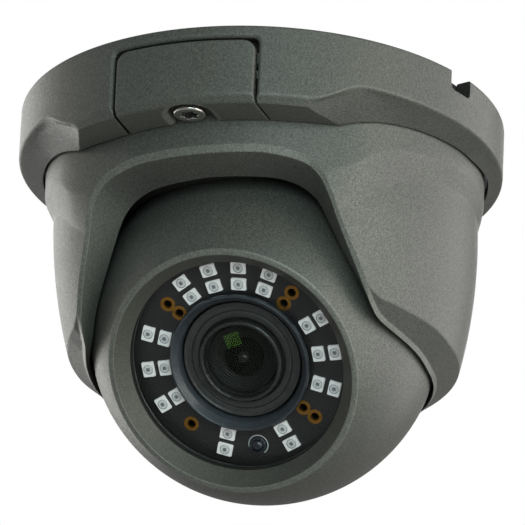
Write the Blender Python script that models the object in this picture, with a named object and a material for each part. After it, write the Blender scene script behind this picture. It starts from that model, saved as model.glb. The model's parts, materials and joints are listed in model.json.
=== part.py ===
"""Turret CCTV camera: a ceiling ring with a sliding hatch, a hooded shroud, and a ball that turns in it.

The origin is the centre of the mounting face. +Z points up into the ceiling.
The lens looks towards -Y and down.
Sizes are in millimetres times MM, so that every length in the file is in metres.
"""

import math

import bmesh
import bpy
from mathutils import Matrix, Vector

MM = 0.001
GAP = 0.3 * MM  # air between neighbouring pieces

# Ceiling ring
RING_RADIUS = 60.0 * MM
RING_TOP = -0.5 * MM
RING_WALL = 2.8 * MM
SKIRT_END_FRONT = -18.7 * MM  # the outer wall runs deeper round the hatch
SKIRT_END_SIDE = -13.3 * MM
FACET_Z_FRONT = -20.5 * MM  # flat underside in front
FACET_Z_SIDE = -16.3 * MM  # at the sides, beside the shroud and beside the outer wall
FACET_Z_OUTER = -14.0 * MM
FRONT_SECTOR = (31.0, 44.0)  # degrees over which the deep skirt fades into the shallow one
CREASE_REACH = 47.0 * MM  # the front facet ends where x + slant * -y reaches this, on each side
CREASE_SLANT = 0.35
RAMP_LENGTH = 9.5 * MM  # from the crease to the shallow underside
LEDGE_TOP = -9.0 * MM
LEDGE_END = -10.6 * MM
LEDGE_RADIUS = 47.5 * MM
NOTCH_ANGLE = 73.0  # degrees round from the front, towards +X
NOTCH_RADIUS = 4.0 * MM
NOTCH_DEPTH = 5.6 * MM
NOTCH_BOSS = 1.3 * MM  # above the ledge, the wall is this much thicker beside the notch

# Hatch
HATCH_HALF_WIDTH = 17.8 * MM
HATCH_TOP = -4.3 * MM
HATCH_CORNER = 2.0 * MM
HATCH_SEAM = 0.4 * MM
HATCH_WALL = 2.0 * MM
HATCH_FLOOR = 3.5 * MM
HATCH_SCREW_Y = -52.6 * MM
HATCH_POCKET = (4.9 * MM, 2.2 * MM)  # radius and depth of the screw's recess
LOCK_SCREW_PLACE = (9.0 * MM, -50.6 * MM)
SCREW_HEAD_RADIUS = 3.95 * MM
SCREW_RADIUS = 1.5 * MM

# Mounting base and clamp ring
FIXING_CIRCLE = 38.0 * MM
FIXING_SLOT_RADIUS = 2.4 * MM
CLAMP_RADIUS = 56.4 * MM
CLAMP_WALL = (37.2 * MM, 40.0 * MM)  # inner and outer radius about the ball's centre
CLAMP_WALL_END = -23.6 * MM

# Shroud. Its sections are circles whose centre drifts back as they go down.
SHROUD_TOP = -13.2 * MM
SHROUD_RADIUS = 52.6 * MM
COLLAR_STEP = 2.2 * MM  # raised collar round the sides and back
COLLAR_FADE = (24, 50)  # degrees over which the collar rises from the hood
BACK_LIMIT = 55.8 * MM  # the back stays inside the ring's outline
RIM_LIP = (1.8 * MM, 1.25 * MM)  # width and drop of the chamfer round the hood's mouth

# Ball
BALL_CENTRE = Vector((0.0, 8.4 * MM, -52.1 * MM))
BALL_RADIUS = 43.35 * MM
BALL_INNER = 41.1 * MM
BORE_RADIUS = 44.0 * MM
LENS_TILT = 42.0  # degrees below the horizontal at rest
SEAM_AXIAL = -14.0 * MM
SEAM_WIDTH = 1.8 * MM
RIM_AXIAL = 29.75 * MM  # where the ball ends in the flat rim round the bezel
WINDOW_RADIUS = 27.7 * MM
WINDOW_TOP = 25.8 * MM
WINDOW_THICKNESS = 1.2 * MM
BOARD_TOP = 21.4 * MM
BOARD_THICKNESS = 1.4 * MM
BOARD_RADII = (17.3 * MM, 27.5 * MM)
SENSOR_CIRCLE = 22.2 * MM

# Light emitters: pairs on two circles, at these angles from the top, mirrored left and right
LED_ANGLES = (9.2, 28.0, 68.0, 90.3, 113.0, 159.0)
LED_CIRCLES = (24.1 * MM, 19.85 * MM)
LED_SIZE = (3.0 * MM, 3.8 * MM, 0.8 * MM)

LARGE_STEPS = 48  # facets round a large turned piece
LENS_STEPS = 28
SMALL_STEPS = 20


# ---------------------------------------------------------------- helpers


def clear_scene():
    for item in list(bpy.data.objects):
        bpy.data.objects.remove(item)


def material(name, colour, roughness, metallic=0.0, alpha=1.0):
    """A Principled material, made once and shared by name."""
    if name in bpy.data.materials:
        return bpy.data.materials[name]
    made = bpy.data.materials.new(name)
    made.use_nodes = True
    shader = made.node_tree.nodes["Principled BSDF"]
    shader.inputs["Base Color"].default_value = (*colour, 1.0)
    shader.inputs["Roughness"].default_value = roughness
    shader.inputs["Metallic"].default_value = metallic
    shader.inputs["Alpha"].default_value = alpha
    return made


def mm(*points):
    """Points given in millimetres."""
    return [tuple(value * MM for value in point) for point in points]


def housing_paint():
    return material("housing_paint", (0.085, 0.095, 0.085), 0.45, 0.35)


def inner_casting():
    return material("inner_casting", (0.32, 0.33, 0.33), 0.5, 0.6)


def black_plastic():
    return material("black_plastic", (0.012, 0.012, 0.013), 0.4)


def black_anodised():
    return material("black_anodised", (0.02, 0.02, 0.022), 0.35, 0.5)


def rubber():
    return material("rubber", (0.025, 0.03, 0.036), 0.6)


def white_nylon():
    return material("white_nylon", (0.75, 0.74, 0.7), 0.5)


def stainless():
    return material("stainless", (0.62, 0.6, 0.57), 0.25, 1.0)


def clear_window():
    return material("clear_window", (0.9, 0.92, 0.92), 0.05, 0.0, 0.25)


def lens_glass():
    return material("lens_glass", (0.05, 0.09, 0.06), 0.03, 0.0, 0.5)


def board_mask():
    return material("board_mask", (0.01, 0.01, 0.011), 0.3)


def emitter_white():
    return material("emitter_white", (0.72, 0.74, 0.74), 0.4)


def chip_black():
    return material("chip_black", (0.015, 0.02, 0.03), 0.15)


def finish(mesh, name, paint, parent=None, matrix=None, flat=False):
    """Turns a bmesh into a named object with outward faces, its paint and its parent."""
    bmesh.ops.recalc_face_normals(mesh, faces=mesh.faces)
    data = bpy.data.meshes.new(name)
    mesh.to_mesh(data)
    mesh.free()
    item = bpy.data.objects.new(name, data)
    bpy.context.scene.collection.objects.link(item)
    data.materials.append(paint)
    if not flat:
        data.shade_smooth()
        data.set_sharp_from_angle(angle=math.radians(30))
    item.parent = parent
    if matrix is not None:
        item.matrix_local = matrix
    return item


def loft(sections, closed=False):
    """A solid through equal-length closed sections. An open run of sections is capped at both ends."""
    mesh = bmesh.new()
    loops = [[mesh.verts.new(point) for point in section] for section in sections]
    count = len(loops[0])
    for k in range(len(loops) if closed else len(loops) - 1):
        here, there = loops[k], loops[(k + 1) % len(loops)]
        for j in range(count):
            mesh.faces.new((here[j], here[(j + 1) % count], there[(j + 1) % count], there[j]))
    if not closed:
        mesh.faces.new(loops[0])
        mesh.faces.new(list(reversed(loops[-1])))
    return mesh


def turned(profile, steps=SMALL_STEPS):
    """Revolves (radius, height) points about local Z. A profile that ends on the axis makes a disc."""
    mesh = bmesh.new()
    on_axis = profile[0][0] == 0.0
    columns = []
    poles = [mesh.verts.new((0, 0, h)) for r, h in profile if r == 0.0]
    rim = [point for point in profile if point[0] > 0.0]
    for k in range(steps):
        turn = 2 * math.pi * k / steps
        columns.append([mesh.verts.new((r * math.cos(turn), r * math.sin(turn), h)) for r, h in rim])
    for k in range(steps):
        here, there = columns[k], columns[(k + 1) % steps]
        for j in range(len(rim) - (1 if on_axis else 0)):
            n = (j + 1) % len(rim)
            mesh.faces.new((here[j], here[n], there[n], there[j]))
        if on_axis:
            mesh.faces.new((poles[0], here[0], there[0]))
            mesh.faces.new((poles[1], there[-1], here[-1]))
    return mesh


def box(size, centre=(0, 0, 0)):
    mesh = bmesh.new()
    bmesh.ops.create_cube(mesh, size=1.0)
    bmesh.ops.scale(mesh, vec=size, verts=mesh.verts)
    bmesh.ops.translate(mesh, vec=centre, verts=mesh.verts)
    return mesh


def cut(item, cutter_mesh, parent=None, matrix=None):
    """Subtracts a mesh from an object with an exact Boolean, keeping the cutter as a hidden guide."""
    cutter = finish(cutter_mesh, item.name + "_cutter", item.data.materials[0], parent, matrix, flat=True)
    cutter.hide_render = True
    cutter.display_type = "WIRE"
    boolean = item.modifiers.new("cut", "BOOLEAN")
    boolean.operation = "DIFFERENCE"
    boolean.solver = "EXACT"
    boolean.object = cutter


def smooth(low, high, x):
    t = min(max((x - low) / (high - low), 0.0), 1.0)
    return t * t * (3 - 2 * t)


def mix(a, b, t):
    return a + (b - a) * t


def curve(points, x):
    """Straight-line reading of a short table of (x, y) points."""
    for (x0, y0), (x1, y1) in zip(points, points[1:]):
        if x <= x1:
            return mix(y0, y1, max(0.0, (x - x0) / (x1 - x0)))
    return points[-1][1]


def polar(centre_y, radius, turn):
    """Distance from the Z axis to a circle centred at (0, centre_y), at an angle from the front."""
    return -centre_y * math.cos(turn) + math.sqrt(radius**2 - (centre_y * math.sin(turn)) ** 2)


def around(radius, turn, z):
    """A point at an angle from the front about the Z axis."""
    return Vector((radius * math.sin(turn), -radius * math.cos(turn), z))


def arc(radius, start, end, count):
    """(radius, height) points on a circle about the origin, between two heights."""
    a0, a1 = math.asin(start / radius), math.asin(end / radius)
    return [
        (radius * math.cos(mix(a0, a1, k / count)), radius * math.sin(mix(a0, a1, k / count)))
        for k in range(count + 1)
    ]


# ---------------------------------------------------------------- shroud surface

# Each table runs from the front to the back of the shroud: (degrees from the front, millimetres).
# Height of the mouth's outer edge
MOUTH_EDGE = (
    (0, -26.2), (16, -26.2), (24, -27.0), (30, -28.6), (33, -31.0), (36.4, -36.3), (40.6, -43.9),
    (45.5, -51.2), (51, -58.0), (56, -61.0), (64, -62.6), (80, -64.0), (95, -65.0), (180, -65.0),
)
# Height of the mouth's inner edge beside the ball
MOUTH_INNER = (
    (0, -29.8), (20, -30.3), (27, -31.4), (34, -34.6), (39.6, -41.6), (44.5, -48.0), (50, -53.8),
    (54.4, -58.1), (58.4, -60.8), (64.4, -62.1), (80, -63.0), (101, -64.6), (180, -64.6),
)
# Upper and lower edge of the bevel under the collar
BEVEL_UPPER = (
    (33, -33.5), (35, -32.5), (38, -31.0), (43, -28.8), (47.5, -25.8), (50, -24.6), (54, -23.4), (58, -22.6),
    (64, -21.9), (70, -21.2), (77, -20.6), (93, -19.6), (180, -19.4),
)
BEVEL_LOWER = (
    (33, -44.0), (36, -42.0), (40, -39.8), (45, -37.0), (50, -33.8), (55, -31.0), (60, -28.6), (65.5, -27.0),
    (72, -25.8), (79, -25.0), (96, -24.1), (180, -24.0),
)
# Width of the chamfer that thins the cheeks towards the mouth
CHEEK_CHAMFER = ((50, 0.0), (60, 2.6), (80, 3.8), (100, 4.2), (180, 4.2))


def shroud_centre(z):
    return min(4.6 * MM + (-16 * MM - z) * 0.0864, 8.4 * MM)


def shroud_radius(turn, z):
    """Radius of the outer surface about its own drifting centre."""
    angle = abs(math.degrees(turn))
    collar = SHROUD_RADIUS + COLLAR_STEP * smooth(*COLLAR_FADE, angle)
    drop = max(-28 * MM - z, 0.0) / MM
    lower = SHROUD_RADIUS - 0.004 * drop**2 * MM
    upper_edge = curve(BEVEL_UPPER, angle) * MM
    lower_edge = curve(BEVEL_LOWER, angle) * MM
    share = min(max((upper_edge - z) / (upper_edge - lower_edge), 0.0), 1.0)
    return mix(collar, lower, share)


def shroud_point(turn, z, inset=0.0):
    """A point of the outer surface, moved inwards by inset, with the back held inside the ring."""
    radius = shroud_radius(turn, z) - inset
    point = Vector((radius * math.sin(turn), shroud_centre(z) - radius * math.cos(turn), z))
    reach = math.hypot(point.x, point.y)
    soft = 1.0 * MM
    limit = BACK_LIMIT - inset
    if reach > limit - soft:
        held = limit - soft * math.exp(-(reach - limit + soft) / soft)
        point.x *= held / reach
        point.y *= held / reach
    return point


def bore_point(turn, z):
    """A point of the bore that holds the ball: a cylinder above its centre and a sphere below."""
    below = min(z - BALL_CENTRE.z, 0.0)
    radius = math.sqrt(BORE_RADIUS**2 - below**2)
    return Vector((radius * math.sin(turn), BALL_CENTRE.y - radius * math.cos(turn), z))


def shroud_section(turn):
    """Closed section of the hood wall at one angle: outside, mouth chamfer, lip and bore."""
    angle = abs(math.degrees(turn))
    edge = curve(MOUTH_EDGE, angle) * MM
    inner = curve(MOUTH_INNER, angle) * MM
    chamfer = curve(CHEEK_CHAMFER, angle) * MM
    lip = mix(1.0, 0.7, smooth(45, 62, angle))  # narrower on the thin cheeks
    rows = 8
    outside = [shroud_point(turn, mix(SHROUD_TOP, edge + chamfer, k / rows)) for k in range(rows + 1)]
    mouth = [
        shroud_point(turn, edge, chamfer),
        shroud_point(turn, edge - lip * RIM_LIP[1], chamfer + lip * RIM_LIP[0]),
        bore_point(turn, inner),
    ]
    knee = max(inner + 2 * MM, BALL_CENTRE.z)
    heights = [mix(inner, knee, 0.35), mix(inner, knee, 0.7), knee, SHROUD_TOP]
    return outside + mouth + [bore_point(turn, z) for z in heights]


def shroud_turns():
    """Angles of the shroud's sections, closest together where the mouth's edge runs steeply."""
    half = [0, 8, 16, 23, 28, 31, 33.5, 36, 38.5, 41, 44, 47, 50, 53, 56, 60, 65, 72, 80, 88, 96]
    half += list(range(106, 180, 10))
    degrees = half + [180] + [-a for a in reversed(half[1:])]
    return [math.radians(a) for a in degrees]


def make_shroud(parent):
    sections = [shroud_section(turn) for turn in shroud_turns()]
    shroud = finish(loft(sections, closed=True), "shroud", housing_paint(), parent)
    screw_holes(shroud, ring_screw_places(), -20 * MM, -8 * MM, parent)


# ---------------------------------------------------------------- ring and hatch


def ring_screw_places():
    """Four screws tie the ring, the clamp ring and the shroud together."""
    return [tuple(around(50.9 * MM, math.radians(a), 0).xy) for a in (-125, -75, 75, 125)]


def screw_holes(item, places, low, high, parent):
    radius = SCREW_RADIUS + GAP
    for x, y in places:
        hole = turned([(0.0, low), (radius, low), (radius, high), (0.0, high)], 12)
        cut(item, hole, parent, Matrix.Translation((x, y, 0)))


def crease_radius(turn):
    """Distance from the Z axis to the crease at which the front facet ends."""
    turn = min(abs(turn), math.pi / 2)
    return CREASE_REACH / (math.sin(turn) + CREASE_SLANT * math.cos(turn))


def underside(radius, turn):
    """Height of the ring's underside: flat in front, a ramp past the crease, and shallow at the sides."""
    past = (radius / crease_radius(turn) - 1) * CREASE_REACH / math.hypot(1, CREASE_SLANT)
    share = (1 - min(max(past / RAMP_LENGTH, 0.0), 1.0)) ** 1.5
    side = mix(FACET_Z_SIDE, FACET_Z_OUTER, (radius - 53.5 * MM) / (5 * MM))
    return mix(side, FACET_Z_FRONT, share)


def facet_inner_radius(turn):
    """Inner edge of the ring's underside, just clear of the shroud."""
    z = underside(53.5 * MM, turn)
    angle = abs(math.degrees(turn))
    shroud = polar(shroud_centre(z), SHROUD_RADIUS + COLLAR_STEP * smooth(*COLLAR_FADE, angle), turn)
    return min(shroud, BACK_LIMIT) + 2 * GAP


def ring_section(turn):
    """Closed section of the ring at one angle, from the top edge down the outside and up the inside."""
    front = 1 - smooth(*FRONT_SECTOR, abs(math.degrees(turn)))
    beside_notch = abs(math.degrees(turn) - NOTCH_ANGLE) < 9
    wall_end = mix(SKIRT_END_SIDE, SKIRT_END_FRONT, front)
    inner = facet_inner_radius(turn)
    outer = RING_RADIUS - 1.5 * MM
    crease = min(max(crease_radius(turn), inner + GAP), outer - GAP)
    facet = underside(inner, turn)
    inside = RING_RADIUS - RING_WALL
    upper_inside = inside - (NOTCH_BOSS if beside_notch else 0.0)
    profile = [
        (RING_RADIUS - 0.8 * MM, RING_TOP),
        (RING_RADIUS, RING_TOP - 0.8 * MM),
        (RING_RADIUS, wall_end),
        (outer, underside(outer, turn)),
        (crease, underside(crease, turn)),
        (inner, facet),
        (inner, facet + 1.8 * MM),
        (inside, mix(-13.0 * MM, facet + 1.8 * MM, front)),
        (inside, LEDGE_END),
        (LEDGE_RADIUS, LEDGE_END),
        (LEDGE_RADIUS, LEDGE_TOP),
        (upper_inside, LEDGE_TOP),
        (upper_inside, RING_TOP),
    ]
    return [around(r, turn, z) for r, z in profile]


def rounded_opening(half_width, top, bottom, corner, y_front, y_back):
    """A prism along Y whose upper corners are rounded, used to open the ring for the hatch."""
    outline = [(-half_width, bottom), (half_width, bottom)]
    for side, start in ((1, 0.0), (-1, 90.0)):
        for k in range(5):
            turn = math.radians(start + 22.5 * k)
            x = side * (half_width - corner) + corner * math.cos(turn)
            outline.append((x, top - corner + corner * math.sin(turn)))
    return loft([[Vector((x, y, z)) for x, z in outline] for y in (y_front, y_back)])


def make_ring(parent):
    sections = [ring_section(math.radians(5 * k - 180)) for k in range(72)]
    ring = finish(loft(sections, closed=True), "base_ring", housing_paint(), parent)
    half_width = HATCH_HALF_WIDTH + HATCH_SEAM
    top = HATCH_TOP + HATCH_SEAM
    corner = HATCH_CORNER + HATCH_SEAM
    cut(ring, rounded_opening(half_width, top, -22 * MM, corner, -63 * MM, -43 * MM), parent)
    turn = math.radians(NOTCH_ANGLE)
    notch = rounded_opening(NOTCH_RADIUS, NOTCH_DEPTH, -20 * MM, 0.9 * NOTCH_RADIUS, -8 * MM, 8 * MM)
    upside_down = Matrix.Rotation(turn, 4, "Z") @ Matrix.Rotation(math.pi, 4, "Y")
    cut(ring, notch, parent, Matrix.Translation(around(RING_RADIUS, turn, 0)) @ upside_down)
    screw_holes(ring, ring_screw_places(), -11 * MM, -6 * MM, parent)


def hatch_section(x):
    """Closed section of the hatch in a plane of constant x: outer wall, bevel, floor and inside."""
    outer = -math.sqrt(RING_RADIUS**2 - x**2)
    over = max(abs(x) - (HATCH_HALF_WIDTH - HATCH_CORNER), 0.0)
    top = HATCH_TOP - (HATCH_CORNER - math.sqrt(max(HATCH_CORNER**2 - over**2, 0.0)))
    bevel = -math.sqrt((RING_RADIUS - 1.5 * MM) ** 2 - x**2)
    back = -math.sqrt(facet_inner_radius(math.asin(x / RING_RADIUS)) ** 2 - x**2)
    inner = -math.sqrt((RING_RADIUS - HATCH_WALL) ** 2 - x**2)
    floor_top = FACET_Z_FRONT + HATCH_FLOOR
    points = [
        (outer, top),
        (outer, SKIRT_END_FRONT),
        (bevel, FACET_Z_FRONT),
        (back, FACET_Z_FRONT),
        (back, floor_top),
        (inner, floor_top),
        (inner, top),
    ]
    return [Vector((x, y, z)) for y, z in points]


def slot_prism(radius, y_centre, y_end, z_low, z_high):
    """A slot with one round end at y_centre, running back past y_end."""
    turns = [math.radians(a) for a in range(180, 361, 20)]
    outline = [(radius * math.cos(turn), y_centre + radius * math.sin(turn)) for turn in turns]
    outline += [(radius, y_end), (-radius, y_end)]
    return loft([[Vector((x, y, z)) for x, y in outline] for z in (z_low, z_high)])


def make_hatch(parent):
    edge = HATCH_HALF_WIDTH
    inner = edge - HATCH_CORNER
    places = [-edge, -edge + 0.3 * MM, -edge + 0.9 * MM, -inner, -10 * MM, -5 * MM, 0.0]
    places += [-x for x in reversed(places[:-1])]
    hatch = finish(loft([hatch_section(x) for x in places]), "hatch", housing_paint(), parent)
    pocket_top = FACET_Z_FRONT + HATCH_POCKET[1]
    pocket = slot_prism(HATCH_POCKET[0], HATCH_SCREW_Y, -44 * MM, -23 * MM, pocket_top)
    cut(hatch, pocket, parent)
    slot = slot_prism(SCREW_RADIUS + GAP, HATCH_SCREW_Y, -44 * MM, pocket_top - 0.5 * MM, -15 * MM)
    cut(hatch, slot, parent)


def screw(name, head_radius, heights, place, parent, head_up=False):
    """A button-head screw with a round socket. Heights are the head's face, its seat and the tip."""
    face, seat, tip = heights
    socket = 0.42 * head_radius
    profile = [
        (0.0, face + 1.0 * MM),
        (socket, face + 1.0 * MM),
        (socket, face),
        (0.62 * head_radius, face),
        (0.93 * head_radius, face + 0.7 * MM),
        (head_radius, seat),
        (SCREW_RADIUS, seat),
        (SCREW_RADIUS, tip - 0.4 * MM),
        (SCREW_RADIUS - 0.4 * MM, tip),
        (0.0, tip),
    ]
    if head_up:
        profile = [(r, -h) for r, h in profile]
    finish(turned(profile), name, stainless(), parent, Matrix.Translation((*place, 0)))


def make_screws(parent):
    """The hatch's clamping screw, the screw that locks the panning, and the four that hold the housing."""
    screw("hatch_screw", SCREW_HEAD_RADIUS, (-20.6 * MM, -18.6 * MM, -9.8 * MM), (0.0, HATCH_SCREW_Y), parent)
    screw("pan_lock_screw", 2.7 * MM, (-15.6 * MM, -13.2 * MM, -6.0 * MM), LOCK_SCREW_PLACE, parent)
    for k, place in enumerate(ring_screw_places()):
        screw(f"ring_screw_{k + 1}", 2.2 * MM, (7.0 * MM, 8.7 * MM, 18.5 * MM), place, parent, head_up=True)


# ---------------------------------------------------------------- base and clamp


def make_base(parent):
    """The plate that is screwed to the ceiling, with a rim that the ring's ledge hooks under."""
    profile = mm((8.2, 0.0), (54.8, 0.0), (55.6, -0.8), (55.6, -5.5), (50.5, -5.5), (49.5, -2.8), (8.2, -2.8))
    base = finish(turned(profile, LARGE_STEPS), "mounting_base", inner_casting(), parent)
    for k in range(3):
        turn = math.radians(60 + 120 * k)
        slot = slot_prism(FIXING_SLOT_RADIUS, -3 * MM, 4 * MM, -6 * MM, 2 * MM)
        place = Matrix.Translation(around(FIXING_CIRCLE, turn, 0))
        cut(base, slot, parent, place @ Matrix.Rotation(turn + math.pi / 2, 4, "Z"))
    gland = mm((3.5, -0.5), (7.8, -0.5), (7.8, -3.1), (9.6, -3.1), (9.6, -4.6), (5.2, -6.6), (3.5, -6.6))
    finish(turned(gland), "cable_gland", rubber(), parent)
    cable = mm((0.0, 0.0), (3.0, 0.0), (3.2, -0.2), (3.2, -7.0), (0.0, -7.0))
    finish(turned(cable), "camera_cable", black_plastic(), parent)


def clamp_section(turn):
    """Closed section of the clamp ring: a flat flange, and a wall that drops round the ball."""
    wall_out = polar(BALL_CENTRE.y, CLAMP_WALL[1], turn)
    wall_in = polar(BALL_CENTRE.y, CLAMP_WALL[0], turn)
    top = LEDGE_END - GAP
    under = SHROUD_TOP + GAP
    profile = [
        (wall_in, top),
        (CLAMP_RADIUS, top),
        (CLAMP_RADIUS, under),
        (wall_out, under),
        (wall_out, CLAMP_WALL_END),
        (wall_in, CLAMP_WALL_END),
    ]
    return [around(r, turn, z) for r, z in profile]


def make_clamp(parent):
    """The clamp ring between the ring's ledge and the shroud, and the nylon rings that it works with."""
    turns = [2 * math.pi * k / LARGE_STEPS for k in range(LARGE_STEPS)]
    sections = [clamp_section(turn) for turn in turns]
    clamp = finish(loft(sections, closed=True), "clamp_ring", inner_casting(), parent)
    cut(clamp, box((11 * MM, 22 * MM, 20 * MM), (0, 50 * MM, -22.5 * MM)), parent)
    places = ring_screw_places() + [(0.0, HATCH_SCREW_Y), LOCK_SCREW_PLACE]
    screw_holes(clamp, places, -16 * MM, -8 * MM, parent)
    pad = mm((36.0, -27.0), (38.8, -27.0), (38.8, -24.0), (33.8, -24.0))
    centre = Matrix.Translation((0, BALL_CENTRE.y, 0))
    pad = finish(turned(pad, LARGE_STEPS), "friction_pad", white_nylon(), parent, centre)
    cut(pad, box((11 * MM, 14 * MM, 8 * MM), (0, 45.4 * MM, -25.5 * MM)), parent)
    glide = mm((53.3, -5.8), (55.6, -5.8), (55.6, -8.7), (53.3, -8.7))
    finish(turned(glide, LARGE_STEPS), "pan_glide_ring", white_nylon(), parent)


# ---------------------------------------------------------------- ball


def make_ball_shells(parent):
    """Front shell with the sloping bezel, rear shell, and the gasket in the seam between them."""
    outer = arc(BALL_RADIUS, SEAM_AXIAL, RIM_AXIAL, 8)
    inner = arc(BALL_INNER, 18.5 * MM, SEAM_AXIAL, 3)
    bezel = mm((30.25, 30.05), (27.05, 26.2), (27.05, 26.1), (28.0, 26.1), (28.0, 18.5))
    finish(turned(outer + bezel + inner, LARGE_STEPS), "ball_front_shell", housing_paint(), parent)
    rear_edge = SEAM_AXIAL - SEAM_WIDTH
    outer = arc(BALL_RADIUS, rear_edge, -41.55 * MM, 5)
    inner = arc(BALL_INNER, -39.2 * MM, rear_edge, 3)
    finish(turned(outer + inner, LARGE_STEPS), "ball_rear_shell", housing_paint(), parent)
    seal = mm((38.4, -15.5), (40.3, -15.5), (40.6, -14.3), (38.8, -14.3))
    finish(turned(seal, LARGE_STEPS), "seam_gasket", rubber(), parent)


def make_window(parent):
    """The clear front window and the gasket it is pressed against."""
    low = WINDOW_TOP - WINDOW_THICKNESS
    window = [(0.0, WINDOW_TOP), (WINDOW_RADIUS, WINDOW_TOP), (WINDOW_RADIUS, low), (0.0, low)]
    finish(turned(window, LARGE_STEPS), "window", clear_window(), parent)
    inner = WINDOW_RADIUS - 0.9 * MM
    seal_low = low - 1.2 * MM
    seal_top = low - GAP
    seal = [(inner, seal_low), (WINDOW_RADIUS, seal_low), (WINDOW_RADIUS, seal_top), (inner, seal_top)]
    finish(turned(seal, LARGE_STEPS), "window_gasket", rubber(), parent)


def emitter_places():
    """Radius and angle from the top of every emitter, in mirrored pairs, the outer circle first."""
    return [(radius, side * angle) for radius in LED_CIRCLES for angle in LED_ANGLES for side in (1, -1)]


def make_lights(parent):
    """The emitter board, its surface-mount emitters and the light sensor."""
    low = BOARD_TOP - BOARD_THICKNESS
    inner, outer = BOARD_RADII
    board = [(inner, low), (outer, low), (outer, BOARD_TOP), (inner, BOARD_TOP)]
    finish(turned(board, LARGE_STEPS), "led_board", board_mask(), parent)
    height = BOARD_TOP + 0.05 * MM + LED_SIZE[2] / 2
    for k, (radius, angle) in enumerate(emitter_places()):
        place = Matrix.Rotation(math.radians(90 - angle), 4, "Z") @ Matrix.Translation((radius, 0, height))
        finish(box(LED_SIZE), f"ir_led_{k + 1:02d}", emitter_white(), parent, place, flat=True)
    sensor = mm((0.0, 2.0), (0.9, 1.7), (1.5, 0.9), (2.4, 0.9), (2.4, 0.05), (0.0, 0.05))
    place = Matrix.Translation((0, -SENSOR_CIRCLE, BOARD_TOP))
    finish(turned(sensor), "light_sensor", chip_black(), parent, place)


def lens_piece(name, points, paint, parent):
    """A piece turned about the optical axis, from (radius, height) points in millimetres."""
    finish(turned(mm(*points), LENS_STEPS), name, paint, parent)


def make_lens_body(ball, focus, zoom):
    """The rubber collar that flares towards the window, the fixed barrel, and the two turning rings."""
    collar = (15.3, 16.4), (17.0, 16.4), (17.0, 21.8), (17.8, 23.6), (17.3, 24.3), (15.4, 22.2)
    lens_piece("lens_collar", collar, rubber(), ball)
    barrel = (11.0, -9.0), (12.4, -9.0), (12.4, 15.6), (11.0, 15.6)
    lens_piece("lens_barrel", barrel, black_anodised(), ball)
    focus_ring = (12.7, 6.0), (14.6, 6.0), (14.6, 14.8), (14.0, 15.4), (12.7, 15.4)
    lens_piece("focus_ring", focus_ring, black_anodised(), focus)
    zoom_ring = (12.7, -6.0), (14.6, -6.0), (14.6, 4.6), (12.7, 4.6)
    lens_piece("zoom_ring", zoom_ring, black_anodised(), zoom)


def make_lens_groups(cell, rear):
    """The front cell with its glass and retainer, and the rear group that slides for zoom."""
    head = (
        (6.0, 8.2), (10.6, 8.2), (10.6, 18.6), (14.6, 18.6), (14.8, 19.0),
        (14.8, 21.4), (12.4, 21.2), (9.9, 20.1), (9.7, 18.4), (6.0, 17.6),
    )
    lens_piece("front_lens_cell", head, black_anodised(), cell)
    retainer = (9.3, 22.4), (9.3, 21.2), (9.6, 20.5), (10.6, 21.4), (10.4, 22.8), (9.7, 23.0)
    lens_piece("lens_retainer", retainer, black_anodised(), cell)
    glass = (0.0, 22.2), (3.2, 22.05), (6.2, 21.6), (8.9, 20.7), (8.9, 18.9), (0.0, 18.9)
    lens_piece("front_lens", glass, lens_glass(), cell)
    group = (0.0, 1.6), (5.0, 1.2), (7.5, 0.4), (10.6, 0.4), (10.6, -5.0), (6.0, -5.4), (0.0, -5.0)
    lens_piece("rear_lens_group", group, lens_glass(), rear)


def make_sensor(ball, ir_filter):
    """The lens mount with its cavity for the sliding filter, the image sensor and its board."""
    cavity_height = -11.4 * MM
    block = box((30 * MM, 26 * MM, 4.0 * MM), (0, 0, cavity_height))
    mount = finish(block, "lens_mount", black_plastic(), ball)
    cut(mount, turned(mm((0.0, -14), (6.0, -14), (6.0, -8), (0.0, -8))), ball)
    cut(mount, box((27 * MM, 14 * MM, 1.8 * MM), (0, 0, cavity_height)), ball)
    filter_plate = box((19 * MM, 13.2 * MM, 1.1 * MM), (-3.4 * MM, 0, cavity_height))
    finish(filter_plate, "ir_cut_filter", lens_glass(), ir_filter, flat=True)
    chip = box((9 * MM, 8 * MM, 1.0 * MM), (0, 0, -14.2 * MM))
    finish(chip, "image_sensor", chip_black(), ball, flat=True)
    board = turned(mm((0.0, -15.0), (19.0, -15.0), (19.0, -16.6), (0.0, -16.6)), 8)
    finish(board, "sensor_board", board_mask(), ball, flat=True)


def make_hub(parent):
    """The swivel hub in the ball's rear hole, with the cable that leaves through it."""
    hub = (
        (3.0, -43.0), (6.0, -42.8), (10.6, -41.8), (11.2, -41.0), (11.2, -37.9),
        (15.0, -37.4), (15.0, -35.8), (3.0, -35.8),
    )
    finish(turned(mm(*hub)), "swivel_hub", inner_casting(), parent)
    cable = mm((0.0, -42.8), (2.6, -42.8), (2.6, -22.0), (0.0, -22.0))
    finish(turned(cable, 16), "ball_cable", black_plastic(), parent)


# ---------------------------------------------------------------- assembly


def empty(name, parent=None, matrix=None):
    made = bpy.data.objects.new(name, None)
    bpy.context.scene.collection.objects.link(made)
    made.parent = parent
    if matrix is not None:
        made.matrix_local = matrix
    return made


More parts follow.
